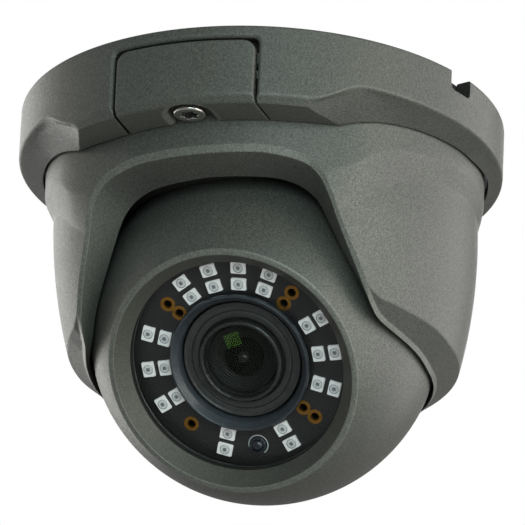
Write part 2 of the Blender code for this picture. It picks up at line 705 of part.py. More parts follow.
def build():
    clear_scene()
    base = empty("base_frame")
    pan = empty("pan_axis", base)
    hatch_slide = empty("hatch_slide", pan)
    facing = Matrix.Translation(BALL_CENTRE) @ Matrix.Rotation(math.radians(90 + LENS_TILT), 4, "X")
    tilt = empty("tilt_axis", pan, facing)
    optical = empty("optical_axis", tilt)
    focus = empty("focus_turn", optical)
    cell = empty("cell_slide", optical)
    zoom = empty("zoom_turn", optical)
    rear = empty("rear_slide", optical)
    ir_filter = empty("filter_slide", optical)
    make_base(base)
    make_ring(pan)
    make_shroud(pan)
    make_clamp(pan)
    make_hatch(hatch_slide)
    make_screws(pan)
    make_hub(tilt)
    make_ball_shells(optical)
    make_window(optical)
    make_lights(optical)
    make_lens_body(optical, focus, zoom)
    make_lens_groups(cell, rear)
    make_sensor(optical, ir_filter)


build()
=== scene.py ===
"""Looks of the turret security camera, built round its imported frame.

Lengths are in millimetres times MM. Pieces about the lens are built in the ball's own frame, whose +Z is the
optical axis and whose origin is the ball's centre.
"""

import json
import math

import bmesh
import bpy
from mathutils import Matrix, Vector


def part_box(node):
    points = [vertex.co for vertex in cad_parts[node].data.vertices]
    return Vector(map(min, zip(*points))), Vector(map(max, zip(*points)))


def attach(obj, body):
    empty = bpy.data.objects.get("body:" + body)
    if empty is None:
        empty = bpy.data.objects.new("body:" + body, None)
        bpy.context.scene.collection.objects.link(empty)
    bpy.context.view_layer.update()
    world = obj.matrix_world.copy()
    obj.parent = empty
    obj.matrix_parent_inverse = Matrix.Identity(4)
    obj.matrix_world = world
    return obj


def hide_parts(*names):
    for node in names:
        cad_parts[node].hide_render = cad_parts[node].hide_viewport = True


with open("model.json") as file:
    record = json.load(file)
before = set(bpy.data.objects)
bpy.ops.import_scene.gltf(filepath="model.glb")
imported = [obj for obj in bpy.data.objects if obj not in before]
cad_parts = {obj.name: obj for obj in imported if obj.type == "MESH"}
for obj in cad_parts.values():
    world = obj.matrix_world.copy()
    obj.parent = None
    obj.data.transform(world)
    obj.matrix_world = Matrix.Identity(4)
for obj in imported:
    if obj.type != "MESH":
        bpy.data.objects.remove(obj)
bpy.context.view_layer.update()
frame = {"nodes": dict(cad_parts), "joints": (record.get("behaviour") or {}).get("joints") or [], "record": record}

MM = 0.001
NODE_BODY = {node: body for body, nodes in frame["record"]["behaviour"]["bodies"].items() for node in nodes}
NODE_SLOT = {entry["node"]: entry["material_slot"] for entry in frame["record"]["subparts"]}
JOINTS = {joint["name"]: joint for joint in frame["joints"]}

# Places taken from the frame
BALL_CENTRE = Vector(JOINTS["tilt"]["pos_m"])
OPTICAL = Vector(JOINTS["turn"]["axis"]).normalized()
LENS_TILT = math.atan2(-OPTICAL.z, -OPTICAL.y)
FACING = Matrix.Translation(BALL_CENTRE) @ Matrix.Rotation(math.pi / 2 + LENS_TILT, 4, "X")
RING_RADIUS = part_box("base_ring")[1].x
RING_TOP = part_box("base_ring")[1].z
FACET_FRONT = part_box("hatch")[0].z
HATCH_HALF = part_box("hatch")[1].x
HATCH_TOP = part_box("hatch")[1].z
SHROUD_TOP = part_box("shroud")[1].z
SCREW_PLACE = (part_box("hatch_screw")[0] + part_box("hatch_screw")[1]) / 2

# Ring, hatch and shroud, in millimetres and degrees from the front
HATCH_CORNER = 2.0
HATCH_SEAM = 0.6
SHROUD_RADIUS = 52.6
COLLAR_STEP = 2.2
COLLAR_FADE = (24, 50)
BACK_LIMIT = 55.8
FRONT_SECTOR = (31, 44)
CREASE_REACH = 47.0
CREASE_SLANT = 0.35
RAMP_LENGTH = 9.5
NOTCH = {"angle": 73.0, "radius": 4.0, "depth": 5.6, "boss": 1.3}
MOUTH_EDGE = (
    (0, -26.2), (16, -26.2), (24, -27.0), (30, -28.6), (33, -31.0), (36.4, -36.3), (40.6, -43.9),
    (45.5, -51.2), (51, -58.0), (56, -61.0), (64, -62.6), (80, -64.0), (95, -65.0), (180, -65.0),
)
MOUTH_INNER = (
    (0, -29.8), (20, -30.3), (27, -31.4), (34, -34.6), (39.6, -41.6), (44.5, -48.0), (50, -53.8),
    (54.4, -58.1), (58.4, -60.8), (64.4, -62.1), (80, -63.0), (101, -64.6), (180, -64.6),
)
BEVEL_UPPER = (
    (33, -33.5), (35, -32.5), (38, -31.0), (43, -28.8), (47.5, -25.8), (50, -24.6), (54, -23.4), (58, -22.6),
    (64, -21.9), (70, -21.2), (77, -20.6), (93, -19.6), (180, -19.4),
)
BEVEL_LOWER = (
    (33, -44.0), (36, -42.0), (40, -39.8), (45, -37.0), (50, -33.8), (55, -31.0), (60, -28.6), (65.5, -27.0),
    (72, -25.8), (79, -25.0), (96, -24.1), (180, -24.0),
)
CHEEK_CHAMFER = ((50, 0.0), (60, 2.6), (80, 3.8), (100, 4.2), (180, 4.2))
RIM_LIP = (0.7, 1.85)
LIP_STRIPS = (35, 38)  # strips of a shroud section along the lip, which get the painted highlight
BORE_POINTS = 14  # points of a shroud section, from the mouth's inner corner up the bore, which get the painted shade
BALL_RADIUS = 43.35
BALL_INNER = 41.1
BORE_RADIUS = 44.0
SEAM_AXIAL = -14.0
RIM_CROWN = 0.3  # rise of the bezel's rim, from the ball's surface to its crest
CREST_RADIUS = 30.25
SILL_RADIUS = 27.05
WINDOW_SEAT = 28.0

# Camera, at the angle the picture is taken from
CAMERA_PLACE = Vector((640.32, -1773.11, -833.90)) * MM
CAMERA_TARGET = Vector((1.366, 0.492, -37.387)) * MM
CAMERA_ROLL = 2.583
CAMERA_LENS = 568.85

# Lights: name, azimuth and elevation from the camera's side in degrees, distance and size in metres, watts, colour
LIGHTS = (
    ("left_wall", -105, 0, 1.3, (0.9, 1.3), 2.5, (1.0, 0.93, 0.85)),
    ("left_back", -140, 5, 1.4, (0.8, 1.2), 8.0, (1.0, 1.0, 0.97)),
    ("front", 8, -6, 1.6, (0.9, 0.9), 10.3, (0.80, 1.0, 1.0)),
    ("right_front", 48, -4, 1.4, (0.6, 1.2), 9.0, (1.0, 0.98, 0.90)),
    ("right_low", 70, -40, 1.4, (0.8, 0.8), 1.4, (1.0, 0.95, 0.80)),
    ("right_wall", 80, -5, 1.3, (0.8, 1.3), 6.6, (1.0, 0.93, 0.98)),
    ("right_back", 118, 5, 1.4, (0.8, 1.2), 6.2, (1.0, 0.98, 0.96)),
    ("back_key", 180, 30, 1.6, (1.0, 0.8), 6.0, (1.0, 1.0, 1.0)),
)
WORLD_STRENGTH = 0.25
# The lens's own two lights: size in metres, watts and colour
LENS_GLOW = (0.44, 0.34, 2.0, (0.42, 0.9, 0.12))
LENS_SPARK = (0.60, 0.30, 60.0, (1.0, 1.0, 1.0))


# ---------------------------------------------------------------- numbers and outlines


def smooth(low, high, x):
    t = min(max((x - low) / (high - low), 0.0), 1.0)
    return t * t * (3 - 2 * t)


def mix(a, b, t):
    return a + (b - a) * t


def curve(points, x):
    """A smooth reading of a short table of (x, y) points, by Catmull-Rom tangents that never overshoot."""
    if x <= points[0][0]:
        return points[0][1]
    for k in range(len(points) - 1):
        (x0, y0), (x1, y1) = points[k], points[k + 1]
        if x <= x1:
            slope = (y1 - y0) / (x1 - x0)
            before = (y0 - points[k - 1][1]) / (x0 - points[k - 1][0]) if k else slope
            after = (points[k + 2][1] - y1) / (points[k + 2][0] - x1) if k + 2 < len(points) else slope
            m0 = 0.0 if before * slope <= 0 else 2 / (1 / before + 1 / slope)
            m1 = 0.0 if after * slope <= 0 else 2 / (1 / after + 1 / slope)
            t = (x - x0) / (x1 - x0)
            h = x1 - x0
            return (
                (1 + 2 * t) * (1 - t) ** 2 * y0
                + t * (1 - t) ** 2 * h * m0
                + t * t * (3 - 2 * t) * y1
                + t * t * (t - 1) * h * m1
            )
    return points[-1][1]


def polar(centre_y, radius, turn):
    """Distance from the Z axis to a circle centred at (0, centre_y), at an angle from the front."""
    return -centre_y * math.cos(turn) + math.sqrt(radius**2 - (centre_y * math.sin(turn)) ** 2)


def around(radius, turn, z):
    return Vector((radius * math.sin(turn), -radius * math.cos(turn), z))


def arc(radius, start, end, count):
    """(radius, height) points on a circle about the origin, between two heights."""
    a0, a1 = math.asin(start / radius), math.asin(end / radius)
    turns = [mix(a0, a1, k / count) for k in range(count + 1)]
    return [Vector((radius * math.cos(turn), radius * math.sin(turn))) for turn in turns]


def fillet(corners, steps=3, closed=True):
    """Rounds the corners of an outline. Each corner is a point, or (point, radius); the count is always the same."""
    points = [c if isinstance(c, tuple) and isinstance(c[0], Vector) else (c, 0.0) for c in corners]
    result = []
    for k, (point, radius) in enumerate(points):
        ends = not closed and k in (0, len(points) - 1)
        if radius <= 0.0 or ends:
            result.append(point)
            continue
        before = points[k - 1][0] - point
        after = points[(k + 1) % len(points)][0] - point
        reach = min(radius, 0.45 * before.length, 0.45 * after.length)
        start = point + before.normalized() * reach
        end = point + after.normalized() * reach
        for n in range(steps + 1):
            t = n / steps
            result.append(start * (1 - t) ** 2 + point * 2 * t * (1 - t) + end * t * t)
    return result


def flat(*points):
    """2-D outline corners in millimetres, as (radius, height) or (radius, height, rounding)."""
    return [(Vector(p[:2]), p[2]) if len(p) > 2 else (Vector(p), 0.0) for p in points]


# ---------------------------------------------------------------- meshes


def loft(sections, closed=False, paint_of=None):
    """A solid through equal-length closed sections. An open run is capped. paint_of gives a strip's slot."""
    mesh = bmesh.new()
    loops = [[mesh.verts.new(point) for point in section] for section in sections]
    count = len(loops[0])
    for k in range(len(loops) if closed else len(loops) - 1):
        here, there = loops[k], loops[(k + 1) % len(loops)]
        for j in range(count):
            face = mesh.faces.new((here[j], here[(j + 1) % count], there[(j + 1) % count], there[j]))
            face.material_index = paint_of(k, j) if paint_of else 0
    if not closed:
        mesh.faces.new(loops[0])
        last = mesh.faces.new(list(reversed(loops[-1])))
        last.material_index = paint_of(len(loops) - 2, 0) if paint_of else 0
    return mesh


def turned(outline, steps=160, paint_of=None):
    """Revolves a closed (radius, height) outline in millimetres about Z. An outline on the axis makes a disc."""
    on_axis = outline[0].x == 0.0
    if not on_axis:
        sections = []
        for k in range(steps):
            turn = 2 * math.pi * k / steps
            sections.append([Vector((p.x * math.cos(turn), p.x * math.sin(turn), p.y)) * MM for p in outline])
        return loft(sections, closed=True, paint_of=(lambda k, j: paint_of(j)) if paint_of else None)
    rings = []
    for p in outline:
        radius = max(p.x, 0.02)
        turns = [2 * math.pi * k / steps for k in range(steps)]
        rings.append([Vector((radius * math.cos(turn), radius * math.sin(turn), p.y)) * MM for turn in turns])
    return loft(rings, paint_of=(lambda k, j: paint_of(k)) if paint_of else None)


def prism(outline, depth):
    """A straight cutter from a 2-D outline in millimetres, between two heights."""
    return loft([[Vector((p.x, p.y, z)) * MM for p in outline] for z in depth])


def object_from(mesh, name, paints, matrix=None, weighted=True):
    bmesh.ops.recalc_face_normals(mesh, faces=mesh.faces)
    data = bpy.data.meshes.new(name)
    mesh.to_mesh(data)
    mesh.free()
    for paint in paints:
        data.materials.append(paint)
    data.shade_smooth()
    data.set_sharp_from_angle(angle=math.radians(33))
    item = bpy.data.objects.new(name, data)
    bpy.context.scene.collection.objects.link(item)
    if matrix is not None:
        item.matrix_world = matrix
    if weighted:
        normals = item.modifiers.new("weighted", "WEIGHTED_NORMAL")
        normals.keep_sharp = True
    return item


def stand_in(node, mesh, paints, matrix=None):
    """A finer piece that replaces a CAD node, on that node's body."""
    item = object_from(mesh, node + "_fine", paints, matrix)
    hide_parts(node)
    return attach(item, NODE_BODY[node])


def detail(name, mesh, paints, body, slot, matrix=None):
    """A small extra piece that no CAD node stands for."""
    item = object_from(mesh, name, paints, matrix)
    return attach(item, body)


def carve(item, cutter_mesh, matrix=None, lining=0):
    """Cuts a mesh out of a piece and applies the cut. lining is the slot of the cut faces."""
    for face in cutter_mesh.faces:
        face.material_index = max(face.material_index, lining)
    cutter = object_from(cutter_mesh, item.name + "_cutter", [], matrix, weighted=False)
    boolean = item.modifiers.new("cut", "BOOLEAN")
    boolean.operation = "DIFFERENCE"
    boolean.solver = "EXACT"
    boolean.object = cutter
    bpy.context.view_layer.update()
    depsgraph = bpy.context.evaluated_depsgraph_get()
    order = [m for m in item.modifiers if m.type == "WEIGHTED_NORMAL"]
    for modifier in order:
        modifier.show_viewport = False
    bpy.context.view_layer.update()
    made = bpy.data.meshes.new_from_object(item.evaluated_get(depsgraph))
    item.modifiers.remove(boolean)
    item.data = made
    for modifier in order:
        modifier.show_viewport = True
    for face in made.polygons:
        face.use_smooth = len(face.vertices) <= 4
    made.set_sharp_from_angle(angle=math.radians(33))
    bpy.data.objects.remove(cutter)


# ---------------------------------------------------------------- material nodes


class Paint:
    """A Principled material with helpers that add procedural detail to it."""

    def __init__(self, name, colour, roughness, metallic=0.0, **inputs):
        self.material = bpy.data.materials.new(name)
        self.material.use_nodes = True
        self.nodes = self.material.node_tree.nodes
        self.links = self.material.node_tree.links
        self.shader = self.nodes["Principled BSDF"]
        self.colour = (*colour, 1.0)
        self.set("Base Color", self.colour)
        self.set("Roughness", roughness)
        self.set("Metallic", metallic)
        for key, value in inputs.items():
            self.set(key.replace("_", " "), value)
        self.coords = self.nodes.new("ShaderNodeTexCoord").outputs["Object"]
        self.height = None

    def set(self, name, value):
        self.shader.inputs[name].default_value = value

    def noise(self, feature, detail=2.0, stretch=None):
        """Noise whose features are about this many millimetres across."""
        node = self.nodes.new("ShaderNodeTexNoise")
        node.inputs["Scale"].default_value = 1 / (feature * MM)
        node.inputs["Detail"].default_value = detail
        source = self.coords
        if stretch:
            mapping = self.nodes.new("ShaderNodeMapping")
            mapping.inputs["Scale"].default_value = stretch
            self.links.new(source, mapping.inputs["Vector"])
            source = mapping.outputs["Vector"]
        self.links.new(source, node.inputs["Vector"])
        return node.outputs["Fac"]

    def spread(self, value, low, high, narrow=(0.3, 0.7)):
        """Maps a noise value to a range."""
        node = self.nodes.new("ShaderNodeMapRange")
        node.inputs["From Min"].default_value = narrow[0]
        node.inputs["From Max"].default_value = narrow[1]
        node.inputs["To Min"].default_value = low
        node.inputs["To Max"].default_value = high
        self.links.new(value, node.inputs["Value"])
        return node.outputs["Result"]

    def shade(self, factor):
        """Multiplies the colour by a factor, which can stack."""
        node = self.nodes.new("ShaderNodeVectorMath")
        node.operation = "SCALE"
        entry = self.shader.inputs["Base Color"]
        if entry.is_linked:
            self.links.new(entry.links[0].from_socket, node.inputs[0])
        else:
            node.inputs[0].default_value = self.colour[:3]
        self.links.new(factor, node.inputs["Scale"])
        self.links.new(node.outputs["Vector"], entry)

    def blend_colour(self, factor, colour):
        """Mixes another colour over the present one."""
        node = self.nodes.new("ShaderNodeMix")
        node.data_type = "RGBA"
        entry = self.shader.inputs["Base Color"]
        if entry.is_linked:
            self.links.new(entry.links[0].from_socket, node.inputs["A"])
        else:
            node.inputs[6].default_value = self.colour
        node.inputs[7].default_value = (*colour, 1.0)
        self.links.new(factor, node.inputs["Factor"])
        self.links.new(node.outputs[2], entry)

    def rough(self, value):
        self.links.new(value, self.shader.inputs["Roughness"])

    def bump(self, value, depth):
        """Adds relief of this many millimetres. Calls stack."""
        node = self.nodes.new("ShaderNodeBump")
        node.inputs["Strength"].default_value = 1.0
        node.inputs["Distance"].default_value = depth * MM
        self.links.new(value, node.inputs["Height"])
        if self.height is not None:
            self.links.new(self.height, node.inputs["Normal"])
        self.height = node.outputs["Normal"]
        self.links.new(self.height, self.shader.inputs["Normal"])

    def round_and_highlight_edges(self, radius, colour, amount):
        """Softens sharp edges over this radius, and paints them a little lighter: rubbed wear and a painted edge
        highlight in one.
        """
        bevel = self.nodes.new("ShaderNodeBevel")
        bevel.samples = 6
        bevel.inputs["Radius"].default_value = radius * MM
        self.height = bevel.outputs["Normal"]
        geometry = self.nodes.new("ShaderNodeNewGeometry")
        dot = self.nodes.new("ShaderNodeVectorMath")
        dot.operation = "DOT_PRODUCT"
        self.links.new(bevel.outputs["Normal"], dot.inputs[0])
        self.links.new(geometry.outputs["Normal"], dot.inputs[1])
        edge = self.spread(dot.outputs["Value"], amount, 0.0, (0.90, 0.995))
        self.blend_colour(edge, colour)
        self.links.new(self.height, self.shader.inputs["Normal"])


PAINTS = {}


def paint(function):
    """Makes each material once."""
    if function.__name__ not in PAINTS:
        PAINTS[function.__name__] = function()
    return PAINTS[function.__name__]


def housing_paint():
    """Speckled grey-green powder coat with fine orange peel."""
    p = Paint("housing_paint", (0.093, 0.098, 0.087), 0.5, 0.25, Coat_Weight=0.12, Coat_Roughness=0.35)
    p.round_and_highlight_edges(0.45, (0.21, 0.22, 0.20), 0.8)
    p.shade(p.spread(p.noise(0.42, 3.0), 0.64, 1.38))
    p.shade(p.spread(p.noise(0.17, 1.0), 0.80, 1.22))
    p.shade(p.spread(p.noise(22.0, 2.0), 0.94, 1.06))
    p.rough(p.spread(p.noise(0.6, 2.0), 0.40, 0.58))
    p.bump(p.noise(0.38, 2.0), 0.045)
    p.bump(p.noise(1.6, 1.0), 0.03)
    return p.material


def rim_painted_highlight():
    """The housing coat made lighter on narrow rims and lips: a painted highlight where those edges catch light."""
    p = Paint("rim_painted_highlight", (0.150, 0.157, 0.141), 0.46, 0.2, Coat_Weight=0.15, Coat_Roughness=0.3)
    p.shade(p.spread(p.noise(0.42, 3.0), 0.66, 1.36))
    p.shade(p.spread(p.noise(0.17, 1.0), 0.82, 1.20))
    p.rough(p.spread(p.noise(0.6, 2.0), 0.38, 0.52))
    p.bump(p.noise(0.38, 2.0), 0.04)
    return p.material


def bezel_painted_shade():
    """The same coat made darker inside the bezel: painted shade on the cone that slopes in to the window."""
    p = Paint("bezel_painted_shade", (0.064, 0.066, 0.056), 0.55, 0.15)
    p.round_and_highlight_edges(0.3, (0.13, 0.14, 0.12), 0.5)
    p.shade(p.spread(p.noise(0.4, 3.0), 0.72, 1.3))
    p.rough(p.spread(p.noise(0.6, 2.0), 0.45, 0.62))
    p.bump(p.noise(0.4, 2.0), 0.03)
    return p.material


def painted_shade():
    """Painted shade: near black, for the bore, the cable notch and other recesses and gaps where shade falls."""
    p = Paint("painted_shade", (0.016, 0.016, 0.013), 0.75)
    p.shade(p.spread(p.noise(0.5, 3.0), 0.75, 1.3))
    p.rough(p.spread(p.noise(0.7, 2.0), 0.68, 0.85))
    p.bump(p.noise(0.4, 2.0), 0.03)
    return p.material


def inner_casting():
    """Tumbled aluminium casting."""
    p = Paint("inner_casting", (0.50, 0.51, 0.51), 0.45, 0.85)
    p.round_and_highlight_edges(0.3, (0.7, 0.7, 0.7), 0.5)
    p.shade(p.spread(p.noise(1.3, 4.0), 0.86, 1.1))
    p.rough(p.spread(p.noise(3.0, 3.0), 0.34, 0.58))
    p.bump(p.noise(0.5, 4.0), 0.05)
    return p.material


def black_plastic():
    p = Paint("black_plastic", (0.018, 0.018, 0.019), 0.45)
    p.round_and_highlight_edges(0.25, (0.04, 0.04, 0.04), 0.5)
    p.shade(p.spread(p.noise(0.8, 3.0), 0.8, 1.3))
    p.rough(p.spread(p.noise(0.3, 2.0), 0.36, 0.56))
    p.bump(p.noise(0.25, 2.0), 0.02)
    return p.material


def black_anodised():
    """Turned and anodised aluminium with fine turning marks."""
    p = Paint("black_anodised", (0.062, 0.061, 0.061), 0.38, 0.4)
    p.round_and_highlight_edges(0.15, (0.12, 0.12, 0.12), 0.5)
    p.shade(p.spread(p.noise(1.6, 3.0), 0.86, 1.18))
    p.rough(p.spread(p.noise(0.5, 2.0), 0.28, 0.44))
    p.bump(turning_marks(p, 0.22), 0.006)
    return p.material


def baffle_black():
    """Matt black inside the lens, which swallows nearly all light."""
    p = Paint("baffle_black", (0.007, 0.007, 0.007), 0.6)
    p.shade(p.spread(p.noise(0.8, 2.0), 0.8, 1.2))
    p.rough(p.spread(p.noise(0.5, 2.0), 0.5, 0.7))
    return p.material


def satin_ring():
    """Anodised ring whose turned edges are nearly bright."""
    p = Paint("satin_ring", (0.075, 0.075, 0.076), 0.26, 0.75)
    p.shade(p.spread(p.noise(1.6, 3.0), 0.97, 1.03))
    p.rough(p.spread(p.noise(1.8, 2.0), 0.24, 0.28))
    return p.material


def turning_marks(p, pitch):
    """Concentric marks about the piece's own Z axis."""
    wave = p.nodes.new("ShaderNodeTexWave")
    wave.wave_type = "RINGS"
    wave.rings_direction = "Z"
    wave.inputs["Scale"].default_value = 1 / (pitch * MM) / 20
    wave.inputs["Distortion"].default_value = 0.6
    wave.inputs["Detail"].default_value = 1.0
    p.links.new(p.coords, wave.inputs["Vector"])
    return wave.outputs["Fac"]


def rubber():
    """Blue-black rubber with a soft sheen and a little dust."""
    p = Paint("rubber", (0.028, 0.033, 0.040), 0.38, Sheen_Weight=0.25, Sheen_Roughness=0.4)
    p.shade(p.spread(p.noise(2.5, 4.0), 0.75, 1.5))
    p.rough(p.spread(p.noise(0.7, 3.0), 0.30, 0.52))
    p.bump(p.noise(0.2, 2.0), 0.012)
    return p.material


def collar_rubber_painted_sheen():
    """The lens collar's rubber, made lighter and bluer than the plain rubber: a painted sheen on its flare."""
    p = Paint("collar_rubber_painted_sheen", (0.040, 0.048, 0.058), 0.33, Coat_Weight=0.3, Coat_Roughness=0.2)
    p.shade(p.spread(p.noise(2.5, 3.0), 0.85, 1.2))
    p.rough(p.spread(p.noise(0.7, 3.0), 0.28, 0.40))
    p.bump(p.noise(0.25, 2.0), 0.008)
    return p.material


def white_nylon():
    p = Paint("white_nylon", (0.72, 0.71, 0.66), 0.5, Subsurface_Weight=0.1)
    p.shade(p.spread(p.noise(4.0, 3.0), 0.93, 1.04))
    p.rough(p.spread(p.noise(1.0, 2.0), 0.4, 0.6))
    p.bump(p.noise(0.6, 2.0), 0.02)
    return p.material


def stainless():
    """Bright turned stainless steel, with faint scratches."""
    p = Paint("stainless", (0.68, 0.66, 0.62), 0.22, 1.0)
    p.round_and_highlight_edges(0.15, (0.85, 0.84, 0.80), 0.6)
    p.shade(p.spread(p.noise(1.6, 2.0), 0.94, 1.05))
    p.rough(p.spread(p.noise(1.2, 2.0), 0.17, 0.26))
    return p.material


def socket_painted_shade():
    """The punched walls and floor of a screw's socket, painted dark and dull: painted shade in the recess."""
    p = Paint("socket_painted_shade", (0.10, 0.098, 0.092), 0.42, 0.8)
    p.shade(p.spread(p.noise(1.0, 2.0), 0.8, 1.2))
    p.rough(p.spread(p.noise(0.8, 2.0), 0.35, 0.5))
    return p.material


def board_mask():
    """Glossy black solder mask over faint copper."""
    p = Paint("board_mask", (0.022, 0.021, 0.021), 0.34, Coat_Weight=0.2, Coat_Roughness=0.2)
    p.shade(p.spread(p.noise(0.5, 2.0), 0.90, 1.12))
    p.rough(p.spread(p.noise(3.0, 2.0), 0.30, 0.36))
    return p.material


def gold_plating():
    p = Paint("gold_plating", (0.42, 0.20, 0.035), 0.36, 0.85)
    p.shade(p.spread(p.noise(0.5, 3.0), 0.7, 1.2))
    p.rough(p.spread(p.noise(0.4, 2.0), 0.25, 0.5))
    p.bump(p.noise(0.3, 2.0), 0.02)
    return p.material


def emitter_white():
    p = Paint("emitter_white", (0.90, 0.90, 0.89), 0.42)
    # The emission is a painted glow that lightens the package; the emitters give no visible light.
    p.set("Emission Color", (1.0, 1.0, 0.98, 1.0))
    p.set("Emission Strength", 0.16)
    p.round_and_highlight_edges(0.12, (0.9, 0.9, 0.9), 0.4)
    p.shade(p.spread(p.noise(0.5, 2.0), 0.92, 1.05))
    p.rough(p.spread(p.noise(0.4, 2.0), 0.36, 0.5))
    p.bump(p.noise(0.25, 2.0), 0.01)
    return p.material


def emitter_gel():
    """The clear fill over the chip, which looks grey against the package."""
    p = Paint("emitter_gel", (0.74, 0.75, 0.75), 0.2, Coat_Weight=0.5, Coat_Roughness=0.1)
    # The emission is a painted glow that lightens the fill.
    p.set("Emission Color", (1.0, 1.0, 0.98, 1.0))
    p.set("Emission Strength", 0.08)
    p.shade(p.spread(p.noise(0.4, 2.0), 0.86, 1.08))
    p.rough(p.spread(p.noise(0.5, 2.0), 0.1, 0.2))
    p.bump(p.noise(0.6, 1.0), 0.01)
    return p.material


def emitter_groove():
    """The shaded wall of the cup round the fill."""
    p = Paint("emitter_groove", (0.34, 0.35, 0.36), 0.5)
    p.shade(p.spread(p.noise(0.3, 2.0), 0.8, 1.2))
    p.bump(p.noise(0.2, 2.0), 0.006)
    return p.material


def emitter_die():
    p = Paint("emitter_die", (0.34, 0.36, 0.38), 0.3, 0.5)
    p.shade(p.spread(p.noise(0.2, 2.0), 0.8, 1.15))
    p.bump(p.noise(0.1, 2.0), 0.005)
    return p.material


def tinned_lead():
    p = Paint("tinned_lead", (0.62, 0.62, 0.61), 0.3, 1.0)
    p.shade(p.spread(p.noise(0.3, 3.0), 0.8, 1.1))
    p.bump(p.noise(0.3, 2.0), 0.01)
    return p.material


def legend_white():
    p = Paint("legend_white", (0.82, 0.84, 0.85), 0.6)
    p.shade(p.spread(p.noise(0.2, 3.0), 0.8, 1.05))
    p.bump(p.noise(0.2, 2.0), 0.01)
    return p.material


def chip_black():
    p = Paint("chip_black", (0.014, 0.018, 0.028), 0.12, Coat_Weight=0.6)
    p.shade(p.spread(p.noise(0.7, 2.0), 0.8, 1.3))
    p.rough(p.spread(p.noise(0.5, 2.0), 0.08, 0.2))
    p.bump(p.noise(0.6, 1.0), 0.004)
    return p.material


def lens_glass():
    """Coated optical glass: nearly black, with a green reflection."""
    p = Paint("lens_glass", (0.004, 0.005, 0.004), 0.03, IOR=1.25)
    p.set("Specular Tint", (0.75, 1.0, 0.6, 1.0))
    p.shade(p.spread(p.noise(6.0, 2.0), 0.8, 1.2))
    p.rough(p.spread(p.noise(1.5, 2.0), 0.02, 0.05))
    return p.material


def inner_glass():
    """The small strongly curved element at the middle, which gives one sharp glint."""
    p = Paint("inner_glass", (0.004, 0.004, 0.004), 0.05, IOR=1.5)
    p.shade(p.spread(p.noise(3.0, 2.0), 0.8, 1.2))
    p.rough(p.spread(p.noise(1.5, 2.0), 0.03, 0.07))
    return p.material


def thin_glass(name, tint, index, haze, coating=(1.0, 1.0, 1.0)):
    """Clear sheet: passes light straight through, and its outside mirrors more at a glancing angle."""
    p = Paint(name, (1.0, 1.0, 1.0), 0.02)
    nodes, links = p.nodes, p.links
    clear = nodes.new("ShaderNodeBsdfTransparent")
    clear.inputs["Color"].default_value = (*tint, 1.0)
    mirror = nodes.new("ShaderNodeBsdfGlossy")
    mirror.inputs["Color"].default_value = (*coating, 1.0)
    links.new(p.spread(p.noise(9.0, 3.0), 0.0, haze), mirror.inputs["Roughness"])
    fresnel = nodes.new("ShaderNodeFresnel")
    fresnel.inputs["IOR"].default_value = index
    side = nodes.new("ShaderNodeNewGeometry")
    outside = nodes.new("ShaderNodeMath")
    outside.operation = "SUBTRACT"
    outside.use_clamp = True
    links.new(fresnel.outputs["Fac"], outside.inputs[0])
    links.new(side.outputs["Backfacing"], outside.inputs[1])
    both = nodes.new("ShaderNodeMixShader")
    links.new(outside.outputs["Value"], both.inputs["Fac"])
    links.new(clear.outputs["BSDF"], both.inputs[1])
    links.new(mirror.outputs["BSDF"], both.inputs[2])
    links.new(both.outputs["Shader"], nodes["Material Output"].inputs["Surface"])
    nodes.remove(p.shader)
    return p.material


def clear_window():
    return thin_glass("clear_window", (0.97, 0.98, 0.98), 1.16, 0.01)


def front_glass():
    return thin_glass("front_glass", (0.84, 0.85, 0.83), 1.22, 0.004, (0.90, 1.0, 0.85))


SLOT_PAINTS = {
    "housing_paint": housing_paint,
    "inner_casting": inner_casting,
    "black_plastic": black_plastic,
    "black_anodised": black_anodised,
    "rubber": rubber,
    "white_nylon": white_nylon,
    "stainless": stainless,
    "clear_window": clear_window,
    "lens_glass": lens_glass,
    "board_mask": board_mask,
    "emitter_white": emitter_white,
    "chip_black": chip_black,
}


# ---------------------------------------------------------------- shroud


def shroud_centre(z):
    return min(4.6 + (-16 - z) * 0.0864, 8.4)


def soft_clamp(t, corner=0.05):
    """0 to 1 with the two corners rounded."""
    if t < -corner or t > 1 + corner:
        return 0.0 if t < 0 else 1.0
    if t < corner:
        return (t + corner) ** 2 / (4 * corner)
    if t > 1 - corner:
        return 1 - (1 + corner - t) ** 2 / (4 * corner)
    return t


def shroud_radius(turn, z):
    angle = abs(math.degrees(turn))
    collar = SHROUD_RADIUS + COLLAR_STEP * smooth(*COLLAR_FADE, angle)
    lower = SHROUD_RADIUS - 0.004 * max(-28 - z, 0.0) ** 2
    upper_edge, lower_edge = curve(BEVEL_UPPER, angle), curve(BEVEL_LOWER, angle)
    return mix(collar, lower, soft_clamp((upper_edge - z) / (upper_edge - lower_edge)))


def shroud_point(turn, z, inset=0.0):
    """A point of the outer surface in millimetres, with the back held inside the ring."""
    radius = shroud_radius(turn, z) - inset
    point = Vector((radius * math.sin(turn), shroud_centre(z) - radius * math.cos(turn), z))
    reach = math.hypot(point.x, point.y)
    limit = BACK_LIMIT - inset
    if reach > limit - 1.0:
        held = limit - math.exp(-(reach - limit + 1.0))
        point.x *= held / reach
        point.y *= held / reach
    return point


def bore_point(turn, z):
    below = min(z - BALL_CENTRE.z / MM, 0.0)
    radius = math.sqrt(BORE_RADIUS**2 - below**2)
    return Vector((radius * math.sin(turn), BALL_CENTRE.y / MM - radius * math.cos(turn), z))


